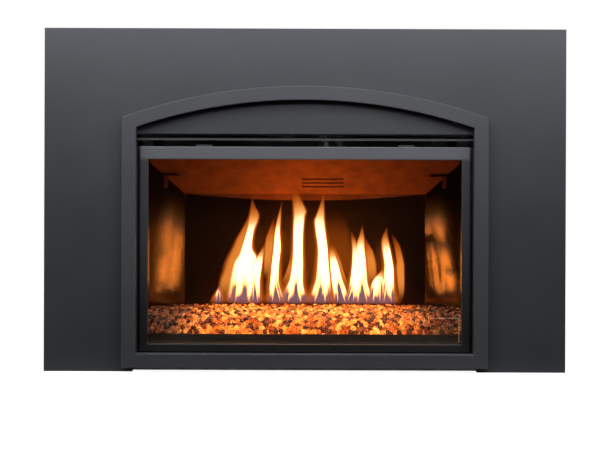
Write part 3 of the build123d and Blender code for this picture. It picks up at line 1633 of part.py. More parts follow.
scroll_front = blower_y - scroll_radius
end_plate_depth = scroll_rear + scroll_sheet - scroll_front
end_plate_middle = scroll_front + end_plate_depth / 2
end_plate_height = scroll_outlet_top - base_top
with BuildPart() as blower_end_plates:
    for inner_x, way in ((plate_left, -1), (plate_right, 1)):
        with BuildSketch(side_plane(inner_x)):
            with Locations((end_plate_middle, base_top + end_plate_height / 2)):
                Rectangle(end_plate_depth, end_plate_height)
            with Locations((blower_y, blower_z)):
                Circle(bearing_bore, mode=Mode.SUBTRACT)
        extrude(amount=way * end_plate_sheet)
        with BuildSketch(Plane.XY.offset(base_top)):
            with Locations((inner_x + way * end_plate_foot / 2, end_plate_middle)):
                Rectangle(end_plate_foot, end_plate_depth)
        extrude(amount=end_plate_sheet)
    # Sintered bush on the right-hand plate
    with BuildSketch(side_plane(plate_right)):
        with Locations((blower_y, blower_z)):
            Circle(bearing_radius)
            Circle(shaft_radius + shaft_play, mode=Mode.SUBTRACT)
    extrude(amount=end_plate_sheet + bearing_length)
blower_end_plates.part.label = "blower_end_plates"
export_step(blower_end_plates.part, "parts/blower_end_plates.step")

# Shaded-pole motor: two round end bells, a laminated core whose yoke reaches forward, and a coil on the yoke
motor_face = plate_left - end_plate_sheet
motor_plane = Plane(origin=(0, blower_y, blower_z), x_dir=(1, 0, 0), z_dir=(0, -1, 0))
core_left = motor_face - motor_boss_length - (motor_length - motor_boss_length + motor_core_length) / 2
motor_foot_height = blower_z - motor_core_height / 2 - base_top
yoke_front = blower_y - motor_core_depth / 2 - motor_yoke_reach
with BuildPart() as blower_motor:
    with BuildSketch(motor_plane):
        with BuildLine():
            Polyline(
                (motor_face, shaft_radius + shaft_play),
                (motor_face, motor_boss_radius),
                (motor_face - motor_boss_length, motor_boss_radius),
                (motor_face - motor_boss_length, motor_radius - motor_edge),
                (motor_face - motor_boss_length - motor_edge, motor_radius),
                (motor_face - motor_length + motor_edge, motor_radius),
                (motor_face - motor_length, motor_radius - motor_edge),
                (motor_face - motor_length, 0),
                (shaft_left - motor_edge, 0),
                (shaft_left - motor_edge, shaft_radius + shaft_play),
                close=True,
            )
        make_face()
    revolve(axis=Axis((0, blower_y, blower_z), (1, 0, 0)))
    with BuildSketch(side_plane(core_left)):
        with Locations((blower_y, blower_z)):
            RectangleRounded(motor_core_depth, motor_core_height, motor_edge)
            Circle(motor_boss_radius, mode=Mode.SUBTRACT)
        with Locations((yoke_front + motor_yoke_reach / 2, blower_z)):
            Rectangle(motor_yoke_reach, motor_yoke_height)
        with Locations((blower_y, blower_z - motor_core_height / 2 - motor_foot_height / 2)):
            Rectangle(motor_foot_depth, motor_foot_height)
    extrude(amount=motor_core_length)
    with BuildSketch(side_plane(core_left - motor_coil_overhang)):
        with Locations((yoke_front + motor_coil_depth / 2, blower_z)):
            RectangleRounded(motor_coil_depth, motor_yoke_height - 2 * motor_edge, motor_edge)
    extrude(amount=motor_core_length + 2 * motor_coil_overhang)
blower_motor.part.label = "blower_motor"
export_step(blower_motor.part, "parts/blower_motor.step")
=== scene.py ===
# %% [markdown]
# # A gas fireplace insert, dressed for its portrait
# The solid parts come in already made, each at its real size and place. This notebook gives them
# their finishes and adds what only a picture needs: loose fire glass, flames, a knitted rope gasket
# and the light of the fire. The first cell loads the parts and measures them, because every new
# piece takes its place from theirs.

# %% Load the solid model
import random
from math import cos, pi, radians, sin, tau

import bmesh
import bpy
from mathutils import Matrix, Vector


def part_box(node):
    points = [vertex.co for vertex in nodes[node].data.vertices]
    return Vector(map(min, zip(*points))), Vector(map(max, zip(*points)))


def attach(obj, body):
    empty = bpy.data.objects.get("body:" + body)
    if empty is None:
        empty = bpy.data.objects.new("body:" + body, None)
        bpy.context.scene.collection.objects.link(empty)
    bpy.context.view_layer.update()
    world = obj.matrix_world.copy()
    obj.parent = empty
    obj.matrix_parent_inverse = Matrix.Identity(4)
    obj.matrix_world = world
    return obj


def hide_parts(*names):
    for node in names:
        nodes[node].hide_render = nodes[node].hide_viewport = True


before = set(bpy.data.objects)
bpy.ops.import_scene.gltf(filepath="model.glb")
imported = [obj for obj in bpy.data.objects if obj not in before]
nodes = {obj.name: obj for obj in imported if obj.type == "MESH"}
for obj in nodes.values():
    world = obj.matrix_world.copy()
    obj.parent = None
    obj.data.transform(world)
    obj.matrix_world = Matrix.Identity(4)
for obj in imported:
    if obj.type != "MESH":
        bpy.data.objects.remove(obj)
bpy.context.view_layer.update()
mm = 0.001

# %% [markdown]
# ## The camera
# The photograph was taken square on, from about two metres, a little above the middle of the glass.
# A camera that looks straight along the Y axis keeps the surround's edges upright, and a small lens
# shift does the framing, so no edge converges. The picture is tipped by a fifth of a degree, and
# the camera is rolled by the same amount.

# %% Camera
surround_front_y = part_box("surround_panel")[0][1]
picture_width = 600
picture_height = 450
focal_px = 1000
principal_px = (305, 200)
camera_distance = 2.0
camera_height = 0.344
camera_roll = radians(0.2)

camera_data = bpy.data.cameras.new("portrait_camera")
camera_data.sensor_width = 36
camera_data.lens = camera_data.sensor_width * focal_px / picture_width
camera_data.shift_x = (picture_width / 2 - principal_px[0]) / picture_width
camera_data.shift_y = (principal_px[1] - picture_height / 2) / picture_width
camera = bpy.data.objects.new("portrait_camera", camera_data)
upright = Matrix.Rotation(radians(90), 4, "X") @ Matrix.Rotation(camera_roll, 4, "Z")
camera.matrix_world = Matrix.Translation((0, surround_front_y - camera_distance, camera_height)) @ upright
bpy.context.scene.collection.objects.link(camera)
bpy.context.scene.camera = camera
bpy.context.scene.view_settings.view_transform = "Standard"
print("lens", camera_data.lens, "shift", camera_data.shift_x, camera_data.shift_y)

# %% [markdown]
# ## Small helpers for materials
# A material here is a short list of nodes. `shader` starts one and returns the Principled shader,
# and `wire` joins two sockets. Every pattern reads object coordinates: the solid parts keep their
# place in their mesh, so a pattern is the same real size on each of them.

# %% Material helpers
def shader(name, **values):
    """A new material with a Principled shader whose plain sockets are set by name."""
    material = bpy.data.materials.new(name)
    material.use_nodes = True
    principled = material.node_tree.nodes["Principled BSDF"]
    for socket, value in values.items():
        principled.inputs[socket.replace("_", " ")].default_value = value
    return material, principled


def node(tree, kind, **settings):
    """A new node in a tree, with its plain settings."""
    made = tree.nodes.new(kind)
    for setting, value in settings.items():
        setattr(made, setting, value)
    return made


def wire(tree, source, target):
    """Joins an output socket to an input socket."""
    tree.links.new(source, target)


def sockets(group, inputs, outputs):
    """Gives a node group its sockets and returns its input and output nodes."""
    for name, kind, default in inputs:
        group.interface.new_socket(name, in_out="INPUT", socket_type=kind).default_value = default
    for name, kind in outputs:
        group.interface.new_socket(name, in_out="OUTPUT", socket_type=kind)
    return group.nodes.new("NodeGroupInput").outputs, group.nodes.new("NodeGroupOutput").inputs


def place_group(material, group, **values):
    """Places a node group in a material and sets its plain inputs."""
    placed = material.node_tree.nodes.new("ShaderNodeGroup")
    placed.node_tree = group
    for socket, value in values.items():
        placed.inputs[socket.replace("_", " ")].default_value = value
    return placed


def dress(material, *names):
    """Gives a finish to solid parts."""
    for name in names:
        nodes[name].data.materials.clear()
        nodes[name].data.materials.append(material)
    print(material.name, "on", ", ".join(names))


def grey(value, warm=0.0):
    """A grey, a little warmer or cooler."""
    return (value * (1 + warm), value, value * (1 - warm), 1)


# %% [markdown]
# ## Shared effects
# Three effects turn up again and again. *Fine grain* is the pebbled skin of baked powder paint, of
# cast metal and of moulded plastic. *Soft mottle* is the slow change of tone and gloss that keeps a
# large flat panel from looking like a flat colour. *Place fade* changes one tone into another along
# a direction; here it paints shade, highlights and glowing edges. Each is a node group, built once,
# that puts out colours, values or a normal.

# %% Fine grain
fine_grain = bpy.data.node_groups.new("fine_grain", "ShaderNodeTree")
grain_in, grain_out = sockets(
    fine_grain,
    [("Scale", "NodeSocketFloat", 900.0), ("Depth", "NodeSocketFloat", 0.1)],
    [("Normal", "NodeSocketVector"), ("Mask", "NodeSocketFloat")],
)
grain_place = node(fine_grain, "ShaderNodeTexCoord")
pebbles = node(fine_grain, "ShaderNodeTexNoise")
pebbles.inputs["Detail"].default_value = 2.0
grain_bump = node(fine_grain, "ShaderNodeBump")
grain_bump.inputs["Distance"].default_value = 0.4 * mm
wire(fine_grain, grain_place.outputs["Object"], pebbles.inputs["Vector"])
wire(fine_grain, grain_in["Scale"], pebbles.inputs["Scale"])
wire(fine_grain, grain_in["Depth"], grain_bump.inputs["Strength"])
wire(fine_grain, pebbles.outputs["Fac"], grain_bump.inputs["Height"])
wire(fine_grain, grain_bump.outputs["Normal"], grain_out["Normal"])
wire(fine_grain, pebbles.outputs["Fac"], grain_out["Mask"])
print("group", fine_grain.name)

# %% Soft mottle
soft_mottle = bpy.data.node_groups.new("soft_mottle", "ShaderNodeTree")
mottle_in, mottle_out = sockets(
    soft_mottle,
    [
        ("Dark", "NodeSocketColor", (0, 0, 0, 1)),
        ("Light", "NodeSocketColor", (1, 1, 1, 1)),
        ("Scale", "NodeSocketFloat", 6.0),
        ("Smooth", "NodeSocketFloat", 0.4),
        ("Rough", "NodeSocketFloat", 0.5),
    ],
    [("Color", "NodeSocketColor"), ("Roughness", "NodeSocketFloat")],
)
mottle_place = node(soft_mottle, "ShaderNodeTexCoord")
cloud = node(soft_mottle, "ShaderNodeTexNoise")
cloud.inputs["Detail"].default_value = 4.0
cloud.inputs["Roughness"].default_value = 0.6
spread = node(soft_mottle, "ShaderNodeMapRange")
spread.inputs["From Min"].default_value = 0.3
spread.inputs["From Max"].default_value = 0.7
mottle_tone = node(soft_mottle, "ShaderNodeMix", data_type="RGBA")
mottle_gloss = node(soft_mottle, "ShaderNodeMix", data_type="FLOAT")
wire(soft_mottle, mottle_place.outputs["Object"], cloud.inputs["Vector"])
wire(soft_mottle, mottle_in["Scale"], cloud.inputs["Scale"])
wire(soft_mottle, cloud.outputs["Fac"], spread.inputs["Value"])
wire(soft_mottle, spread.outputs["Result"], mottle_tone.inputs["Factor"])
wire(soft_mottle, mottle_in["Dark"], mottle_tone.inputs["A"])
wire(soft_mottle, mottle_in["Light"], mottle_tone.inputs["B"])
wire(soft_mottle, spread.outputs["Result"], mottle_gloss.inputs["Factor"])
wire(soft_mottle, mottle_in["Smooth"], mottle_gloss.inputs["A"])
wire(soft_mottle, mottle_in["Rough"], mottle_gloss.inputs["B"])
wire(soft_mottle, mottle_tone.outputs["Result"], mottle_out["Color"])
wire(soft_mottle, mottle_gloss.outputs["Result"], mottle_out["Roughness"])
print("group", soft_mottle.name)

# %% Place fade
place_fade = bpy.data.node_groups.new("place_fade", "ShaderNodeTree")
fade_in, fade_out = sockets(
    place_fade,
    [
        ("Axis", "NodeSocketVector", (0, 0, 1)),
        ("Start", "NodeSocketFloat", 0.0),
        ("End", "NodeSocketFloat", 1.0),
        ("Tone", "NodeSocketColor", (0, 0, 0, 1)),
        ("Far Tone", "NodeSocketColor", (1, 1, 1, 1)),
    ],
    [("Color", "NodeSocketColor")],
)
fade_place = node(place_fade, "ShaderNodeTexCoord")
fade_reach = node(place_fade, "ShaderNodeVectorMath", operation="DOT_PRODUCT")
fade_range = node(place_fade, "ShaderNodeMapRange", interpolation_type="SMOOTHSTEP")
fade_tone = node(place_fade, "ShaderNodeMix", data_type="RGBA")
wire(place_fade, fade_place.outputs["Object"], fade_reach.inputs[0])
wire(place_fade, fade_in["Axis"], fade_reach.inputs[1])
wire(place_fade, fade_reach.outputs["Value"], fade_range.inputs["Value"])
wire(place_fade, fade_in["Start"], fade_range.inputs["From Min"])
wire(place_fade, fade_in["End"], fade_range.inputs["From Max"])
wire(place_fade, fade_range.outputs["Result"], fade_tone.inputs["Factor"])
wire(place_fade, fade_in["Tone"], fade_tone.inputs["A"])
wire(place_fade, fade_in["Far Tone"], fade_tone.inputs["B"])
wire(place_fade, fade_tone.outputs["Result"], fade_out["Color"])
print("group", place_fade.name)

# %% [markdown]
# ## Painted sheet
# The surround, the arched face and the door are steel sheet under baked charcoal powder paint:
# nearly black, satin, with a very fine pebble that only shows as a soft edge on the reflections.
# One recipe makes all the painted metals, each with its own tone, gloss and grain.

# %% Painted metals
def painted(name, dark, light, smooth, rough, grain=900.0, depth=0.12, mottle=5.0, **values):
    """Paint over metal: a mottled tone and gloss under a fine pebbled skin."""
    material, principled = shader(name, **values)
    tree = material.node_tree
    tone = place_group(
        material, soft_mottle, Dark=dark, Light=light, Scale=mottle, Smooth=smooth, Rough=rough
    )
    skin = place_group(material, fine_grain, Scale=grain, Depth=depth)
    wire(tree, tone.outputs["Color"], principled.inputs["Base Color"])
    wire(tree, tone.outputs["Roughness"], principled.inputs["Roughness"])
    wire(tree, skin.outputs["Normal"], principled.inputs["Normal"])
    return material


charcoal = painted("charcoal_powder_paint", grey(0.038, -0.05), grey(0.043, -0.05), 0.40, 0.47)
black_paint = painted("black_stove_paint", grey(0.012), grey(0.018), 0.55, 0.7, depth=0.25)
scorched = painted("heat_darkened_steel", (0.12, 0.05, 0.016, 1), (0.235, 0.10, 0.032, 1), 0.6, 0.8,
                   grain=400, mottle=30, Specular_IOR_Level=0.15)
fence_paint = painted("bronze_grey_paint", grey(0.085, 0.3), grey(0.11, 0.3), 0.3, 0.42)
motor_paint = painted("motor_enamel", grey(0.02), grey(0.03), 0.35, 0.5)
face_paint = painted("face_powder_paint", grey(0.054, -0.03), grey(0.060, -0.03), 0.40, 0.47)
dress(charcoal, "surround_panel")
dress(face_paint, "arched_face")
dress(black_paint, "door_hooks", "firebox_face", "firebox_wrap", "firebox_top", "gas_panel",
      "electric_panel")
dress(scorched, "ceiling_baffle", "media_tray", "burner_box", "firebox_floor", "panel_clips")
dress(fence_paint, "media_fence")
dress(motor_paint, "blower_motor")

# %% [markdown]
# ## Painted highlight and shade
# The upper bar of the door is painted paler, a painted highlight where it catches the light from
# above, and its foot is painted darker, a painted shade. The blade in the outlet is black, but its
# front lip is painted bright, a painted highlight where its edge catches the light. Each of these is the
# place fade, slipped between a finish's own tone and its shader.

# %% Door and louvre
def tinge(material, far_tone, axis, start, end):
    """Fades a finish into another tone along an axis, from start to end in metres."""
    tree = material.node_tree
    target = tree.nodes["Principled BSDF"].inputs["Base Color"]
    own_tone = target.links[0].from_socket
    fade = place_group(material, place_fade, Axis=axis, Start=start, End=end, Far_Tone=far_tone)
    wire(tree, own_tone, fade.inputs["Tone"])
    wire(tree, fade.outputs["Color"], target)


down, up_axis, forward = (0, 0, -1), (0, 0, 1), (0, -1, 0)
shade_top_z, shade_foot_z = 0.32, 0.05
door_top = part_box("door_frame")[1][2]
highlight_from_z, highlight_full_z = door_top - 30 * mm, door_top - 20 * mm
door_paint = painted("door_powder_paint", grey(0.034, -0.04), grey(0.039, -0.04), 0.40, 0.47)
# painted shade: the door is painted darker towards its foot
tinge(door_paint, grey(0.010, 0.1), down, -shade_top_z, -shade_foot_z)
# painted highlight: the top bar of the door is painted lighter, where it catches the light from above
tinge(door_paint, grey(0.104, -0.04), up_axis, highlight_from_z, highlight_full_z)
dress(door_paint, "door_frame")
lip_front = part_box("outlet_louvre")[0][1]
lip_highlight_starts, lip_highlight_full = 1.2 * mm, 0.4 * mm
blade_paint = painted("blade_paint_with_painted_lip_highlight", grey(0.012), grey(0.018), 0.5, 0.6)
# painted highlight: the blade's front lip is painted bright, where its edge catches the light
tinge(blade_paint, grey(0.11, 0.03), forward, -lip_front - lip_highlight_starts, -lip_front - lip_highlight_full)
dress(blade_paint, "outlet_louvre")

# %% [markdown]
# ## Lining panels
# The firebox is lined with polished black panels. They are nearly black themselves, so almost all
# that is seen in them is the reflection of the fire. The slanted corners throw the whole row of
# flames back at the viewer, end on.

# %% Black lining
def lining(name, smooth, rough, gleam):
    """Polished black panel: nearly no colour of its own, with a clear reflection."""
    return painted(name, grey(0.003, 0.3), grey(0.006, 0.3), smooth, rough, grain=8, depth=0.01,
                   mottle=9.0, IOR=1.55, Specular_Tint=gleam)


dress(lining("black_glass_back", 0.34, 0.42, (1, 0.6, 0.2, 1)), "liner_back")
dress(lining("black_glass_left", 0.13, 0.19, (1, 0.85, 0.6, 1)), "liner_corner_left", "liner_side_left")
dress(lining("black_glass_right", 0.09, 0.13, (1, 0.85, 0.6, 1)), "liner_corner_right", "liner_side_right")

# %% [markdown]
# ## Bare metals
# The casing that hides in the chimney is galvanised: large frosty crystals, each a slightly
# different grey. Voronoi cells give those crystals. The other bare metals only differ in tone,
# gloss and grain.

# %% Galvanised sheet
galvanised, zinc = shader("galvanised_sheet", Metallic=1.0)
zinc_tree = galvanised.node_tree
zinc_place = node(zinc_tree, "ShaderNodeTexCoord")
crystals = node(zinc_tree, "ShaderNodeTexVoronoi")
crystals.inputs["Scale"].default_value = 90.0
crystal_tone = node(zinc_tree, "ShaderNodeValToRGB")
crystal_tone.color_ramp.elements[0].color = (0.34, 0.36, 0.38, 1)
crystal_tone.color_ramp.elements[1].color = (0.54, 0.56, 0.58, 1)
crystal_gloss = node(zinc_tree, "ShaderNodeMapRange")
crystal_gloss.inputs["To Min"].default_value = 0.38
crystal_gloss.inputs["To Max"].default_value = 0.55
wire(zinc_tree, zinc_place.outputs["Object"], crystals.inputs["Vector"])
wire(zinc_tree, crystals.outputs["Color"], crystal_tone.inputs["Fac"])
wire(zinc_tree, crystals.outputs["Color"], crystal_gloss.inputs["Value"])
wire(zinc_tree, crystal_tone.outputs["Color"], zinc.inputs["Base Color"])
wire(zinc_tree, crystal_gloss.outputs["Result"], zinc.inputs["Roughness"])
dress(galvanised, "casing_base", "casing_wrap", "casing_lid", "surround_brackets", "intake_duct",
      "junction_box", "blower_scroll", "blower_end_plates", "venturi")

# %% Other bare metals
def bare_metal(name, dark, light, smooth, rough, grain=500.0, depth=0.1):
    """Bare metal with a mottled tone and gloss."""
    return painted(name, dark, light, smooth, rough, grain, depth, mottle=20.0, Metallic=1.0)


aluminium = bare_metal("drawn_aluminium", grey(0.55), grey(0.68), 0.22, 0.38)
cast_aluminium = bare_metal("sand_cast_metal", grey(0.38), grey(0.50), 0.4, 0.6, grain=350, depth=0.4)
spring_steel = bare_metal("bright_spring_steel", grey(0.36), grey(0.46), 0.2, 0.34)
brass = bare_metal("turned_brass", (0.52, 0.33, 0.10, 1), (0.66, 0.45, 0.16, 1), 0.2, 0.4)
pilot_steel = bare_metal("heat_tinted_steel", (0.20, 0.15, 0.12, 1), (0.34, 0.27, 0.24, 1), 0.3, 0.5)
dress(aluminium, "exhaust_collar", "intake_collar", "manifold_tube", "pilot_tube", "supply_tube")
dress(cast_aluminium, "gas_valve", "blower_rotor")
dress(spring_steel, "door_catches", "air_shutter", "flue_restrictor", "rotor_shaft", "casing_screws",
      "face_magnets")
dress(brass, "gas_inlet", "orifice")
dress(pilot_steel, "pilot_burner")

# %% [markdown]
# ## Plastics and ceramic
# Knobs and switch are moulded in matt black with a faint eroded texture, the control modules are
# dark grey, and the electrodes are white glazed ceramic.

# %% Plastics and ceramic
black_plastic = painted("black_moulded_plastic", grey(0.012), grey(0.018), 0.4, 0.5, grain=1400)
grey_plastic = painted("grey_moulded_plastic", grey(0.045), grey(0.06), 0.45, 0.55, grain=1400)
white_ceramic = painted("glazed_ceramic", grey(0.62, 0.03), grey(0.74, 0.03), 0.15, 0.3, depth=0.03)
dress(black_plastic, "gas_knob", "flame_knob", "speed_knob", "switch_body", "rocker")
dress(grey_plastic, "ignition_module", "speed_control")
dress(white_ceramic, "spark_electrode", "flame_sensor")

# %% [markdown]
# ## Clear glass
# The pane of the door and the low strip that holds back the fire glass are clear. The strip's
# ground edges show thin bright lines, strongest at the right-hand end: painted light, an emission
# that stands for the light of the fire carried inside the glass.

# %% Clear glass
clear_glass, _ = shader(
    "clear_pane", Base_Color=(0.96, 0.97, 0.96, 1), Roughness=0.0, IOR=1.45, Transmission_Weight=1.0
)
dress(clear_glass, "door_glass")

# %% Painted glow on the ground edges of the strip
strip_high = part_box("glass_retainer")[1]
edge_starts, edge_full = 1.2 * mm, 0.8 * mm
painted_glow_from_x, painted_glow_full_x = 0.10, 0.26
# painted light: the strip's top edge and right-hand end glow with a weak emission, stronger to the right
strip_glass, strip_shader = shader(
    "glass_with_painted_edge_glow", Base_Color=(0.96, 0.97, 0.96, 1), Roughness=0.0, IOR=1.45, Transmission_Weight=1.0,
    Emission_Strength=0.13
)
painted_edge_glow = (1.0, 0.55, 0.28, 1)
along = place_group(strip_glass, place_fade, Axis=(1, 0, 0), Start=painted_glow_from_x, End=painted_glow_full_x,
                    Far_Tone=painted_edge_glow)
top_edge = place_group(strip_glass, place_fade, Start=strip_high[2] - edge_starts,
                       End=strip_high[2] - edge_full)
end_edge = place_group(strip_glass, place_fade, Axis=(1, 0, 0), Start=strip_high[0] - edge_starts,
                       End=strip_high[0] - edge_full, Far_Tone=painted_edge_glow)
wire(strip_glass.node_tree, along.outputs["Color"], top_edge.inputs["Far Tone"])
wire(strip_glass.node_tree, top_edge.outputs["Color"], end_edge.inputs["Tone"])
wire(strip_glass.node_tree, end_edge.outputs["Color"], strip_shader.inputs["Emission Color"])
dress(strip_glass, "glass_retainer")

# %% [markdown]
# ## Rope gasket
# A knitted glass-fibre rope seals the door. From the front it hides behind the frame; when the door
# swings out its knit shows. It keeps the solid's shape and gets slanted bands of fine bumps.

# %% Rope gasket
knitted, knit_shader = shader("knitted_rope", Roughness=0.9)
knit_tree = knitted.node_tree
knit_place = node(knit_tree, "ShaderNodeTexCoord")
strands = node(knit_tree, "ShaderNodeTexWave", wave_type="BANDS", bands_direction="DIAGONAL")
strands.inputs["Scale"].default_value = 160.0
strands.inputs["Distortion"].default_value = 1.5
strand_tone = node(knit_tree, "ShaderNodeValToRGB")
strand_tone.color_ramp.elements[0].color = grey(0.02)
strand_tone.color_ramp.elements[1].color = grey(0.09)
strand_bump = node(knit_tree, "ShaderNodeBump")
strand_bump.inputs["Distance"].default_value = 1 * mm
wire(knit_tree, knit_place.outputs["Object"], strands.inputs["Vector"])
wire(knit_tree, strands.outputs["Fac"], strand_tone.inputs["Fac"])
wire(knit_tree, strands.outputs["Fac"], strand_bump.inputs["Height"])
wire(knit_tree, strand_tone.outputs["Color"], knit_shader.inputs["Base Color"])
wire(knit_tree, strand_bump.outputs["Normal"], knit_shader.inputs["Normal"])
dress(knitted, "door_gasket")

# %% [markdown]
# ## Putting a new piece into the scene
# Every new piece is a mesh from a bmesh. It sits at the origin with its place in its vertices,
# rides on the body that carries it, and takes the finish it is given.

# %% Piece helper
def piece(name, shape, material, body):
    """Turns a bmesh into an object of the insert."""
    mesh = bpy.data.meshes.new(name)
    shape.to_mesh(mesh)
    shape.free()
    mesh.shade_smooth()
    mesh.materials.append(material)
    made = bpy.data.objects.new(name, mesh)
    bpy.context.scene.collection.objects.link(made)
    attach(made, body)
    print(name, "faces:", len(mesh.polygons))
    return made


# %% [markdown]
# ## Fire glass
# Half-inch glass beads lie in a heap over the burner. The solid bed gives the heap's surface: a ray
# dropped on it at each place of a loose hexagonal pattern finds the height of a bead. One small
# sphere is made once, squeezed and turned at random, and joined into the heap again and again,
# because adding a ready mesh is far quicker than making each sphere in place. Each copy carries its
# own tint in an attribute.

# %% Fire glass heap
bead_radius = 6.35 * mm
bead_pitch = 11.0 * mm
bead_scatter = 1.6 * mm
bed = nodes["fire_glass_bed"]
bed_low, bed_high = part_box("fire_glass_bed")
bed_low, bed_high = Vector(bed_low), Vector(bed_high)


def bed_height(x, y):
    """Height of the heap's surface at a place, or None beside it."""
    hit, spot, _, _ = bed.ray_cast(Vector((x, y, bed_high.z + 0.1)), Vector((0, 0, -1)))
    return spot.z if hit else None


def one_bead(segments, rings):
    """The mesh of one round bead, with a tint attribute."""
    ball = bmesh.new()
    ball.verts.layers.float.new("tint")
    bmesh.ops.create_uvsphere(ball, u_segments=segments, v_segments=rings, radius=bead_radius)
    mesh = bpy.data.meshes.new("one_bead")
    ball.to_mesh(mesh)
    ball.free()
    return mesh


def bead_heap(seed, sink, segments, rings):
    """A layer of loose beads whose tops lie about sink below the heap's surface."""
    rng = random.Random(seed)
    bead = one_bead(segments, rings)
    heap = bmesh.new()
    heap.verts.layers.float.new("tint")
    row_pitch = bead_pitch * cos(radians(30))
    rows = int((bed_high.y - bed_low.y) / row_pitch)
    columns = int((bed_high.x - bed_low.x) / bead_pitch) + 1
    for row in range(rows + 1):
        for column in range(columns):
            x = bed_low.x + (column + 0.5 * (row % 2)) * bead_pitch + rng.uniform(-1, 1) * bead_scatter
            y = bed_low.y + bead_radius + row * row_pitch + rng.uniform(-1, 1) * bead_scatter
            spin = Matrix.Rotation(rng.uniform(0, tau), 4, "Z")
            turn = spin @ Matrix.Rotation(rng.uniform(0, pi), 4, "X")
            squeeze = Matrix.Diagonal(
                (rng.uniform(0.85, 1.04), rng.uniform(0.75, 1), rng.uniform(0.7, 0.95), 1)
            )
            drop = bead_radius * rng.uniform(0.75, 1.2)
            own_tint = rng.random()
            height = bed_height(x, y)
            if height is None or abs(x) > bed_high.x - bead_radius:
                continue
            lay = Matrix.Translation((x, y, height - sink - drop)) @ turn @ squeeze
            bead.transform(lay)
            bead.attributes["tint"].data.foreach_set("value", [own_tint] * len(bead.vertices))
            heap.from_mesh(bead)
            bead.transform(lay.inverted())
    return heap


print("heap surface", round(bed_height(0, 0.15), 4))

# %% [markdown]
# ## Amber glass
# The beads over the burner glow from deep red to pale amber, with dark gaps and hard pale glints.
# The glow is painted light: an emission that stands for the burner's light coming up through the
# glass. The beads beside the burner only catch stray light. So a bead's colour comes from its own
# tint, and a slow mask along the width sets how much painted glow it gets. A fine noise paints a
# few bright highlights and dark hollows of shade in each bead, and where that noise peaks, also outside the
# glow, it adds a small painted glint.

# %% Amber glass
amber_glass, amber = shader("amber_fire_glass", Coat_Weight=0.25, Coat_Roughness=0.02, Specular_IOR_Level=0.4,
                            Roughness=0.12, Emission_Strength=3.2)
amber_tree = amber_glass.node_tree
own = node(amber_tree, "ShaderNodeAttribute", attribute_name="tint")
amber_ramp = node(amber_tree, "ShaderNodeValToRGB")
amber_ramp.color_ramp.elements[0].color = (0.012, 0.002, 0.001, 1)
amber_ramp.color_ramp.elements[1].color = (1.0, 0.29, 0.045, 1)
amber_tones = {0.25: (0.10, 0.011, 0.001, 1), 0.55: (0.50, 0.072, 0.004, 1), 0.8: (0.85, 0.17, 0.015, 1)}
for spot, colour in amber_tones.items():
    amber_ramp.color_ramp.elements.new(spot).color = colour
amber_place = node(amber_tree, "ShaderNodeTexCoord")
amber_axes = node(amber_tree, "ShaderNodeSeparateXYZ")
off_middle = node(amber_tree, "ShaderNodeMath", operation="ABSOLUTE")
lit_half_width, dark_half_width = 0.155, 0.295
# painted glow: beads over the burner emit strongly, beads beside it hardly at all
glow = node(amber_tree, "ShaderNodeMapRange", interpolation_type="SMOOTHSTEP")
glow.inputs["From Min"].default_value = lit_half_width
glow.inputs["From Max"].default_value = dark_half_width
glow.inputs["To Min"].default_value = 1.0
glow.inputs["To Max"].default_value = 0.05
# painted highlights and shade: a fine noise brightens and darkens the glow inside each bead
painted_sparkle_noise = node(amber_tree, "ShaderNodeTexNoise")
painted_sparkle_noise.inputs["Scale"].default_value = 520.0
painted_sparkle_noise.inputs["Detail"].default_value = 1.0
painted_sparkle_range = node(amber_tree, "ShaderNodeMapRange")
painted_sparkle_range.inputs["From Min"].default_value = 0.42
painted_sparkle_range.inputs["From Max"].default_value = 0.66
painted_sparkle_range.inputs["To Min"].default_value = 0.04
painted_sparkle_range.inputs["To Max"].default_value = 2.0
painted_sparkle_glow = node(amber_tree, "ShaderNodeMath", operation="MULTIPLY")
# the beads' painted glow: tint colour times the glow mask and the noise
ember = node(amber_tree, "ShaderNodeMix", data_type="RGBA", blend_type="MULTIPLY")
ember.inputs["Factor"].default_value = 1.0
# painted glints: pale emission added where the noise peaks
painted_glint_mask = node(amber_tree, "ShaderNodeMapRange")
painted_glint_mask.inputs["From Min"].default_value = 0.65
painted_glint_mask.inputs["From Max"].default_value = 0.72
glint = node(amber_tree, "ShaderNodeMix", data_type="RGBA", blend_type="ADD")
glint.inputs["B"].default_value = (0.13, 0.10, 0.075, 1)
body_tone = node(amber_tree, "ShaderNodeMix", data_type="RGBA", blend_type="MULTIPLY")
body_tone.inputs["Factor"].default_value = 1.0
body_tone.inputs["B"].default_value = (0.12, 0.08, 0.05, 1)
wire(amber_tree, own.outputs["Fac"], amber_ramp.inputs["Fac"])
wire(amber_tree, amber_place.outputs["Object"], amber_axes.inputs["Vector"])
wire(amber_tree, amber_axes.outputs["X"], off_middle.inputs[0])
wire(amber_tree, off_middle.outputs["Value"], glow.inputs["Value"])
wire(amber_tree, amber_ramp.outputs["Color"], ember.inputs["A"])
wire(amber_tree, amber_place.outputs["Object"], painted_sparkle_noise.inputs["Vector"])
wire(amber_tree, painted_sparkle_noise.outputs["Fac"], painted_sparkle_range.inputs["Value"])
wire(amber_tree, glow.outputs["Result"], painted_sparkle_glow.inputs[0])
wire(amber_tree, painted_sparkle_range.outputs["Result"], painted_sparkle_glow.inputs[1])
wire(amber_tree, painted_sparkle_glow.outputs["Value"], ember.inputs["B"])
wire(amber_tree, amber_ramp.outputs["Color"], body_tone.inputs["A"])
wire(amber_tree, body_tone.outputs["Result"], amber.inputs["Base Color"])
wire(amber_tree, painted_sparkle_noise.outputs["Fac"], painted_glint_mask.inputs["Value"])
wire(amber_tree, painted_glint_mask.outputs["Result"], glint.inputs["Factor"])
wire(amber_tree, ember.outputs["Result"], glint.inputs["A"])
wire(amber_tree, glint.outputs["Result"], amber.inputs["Emission Color"])
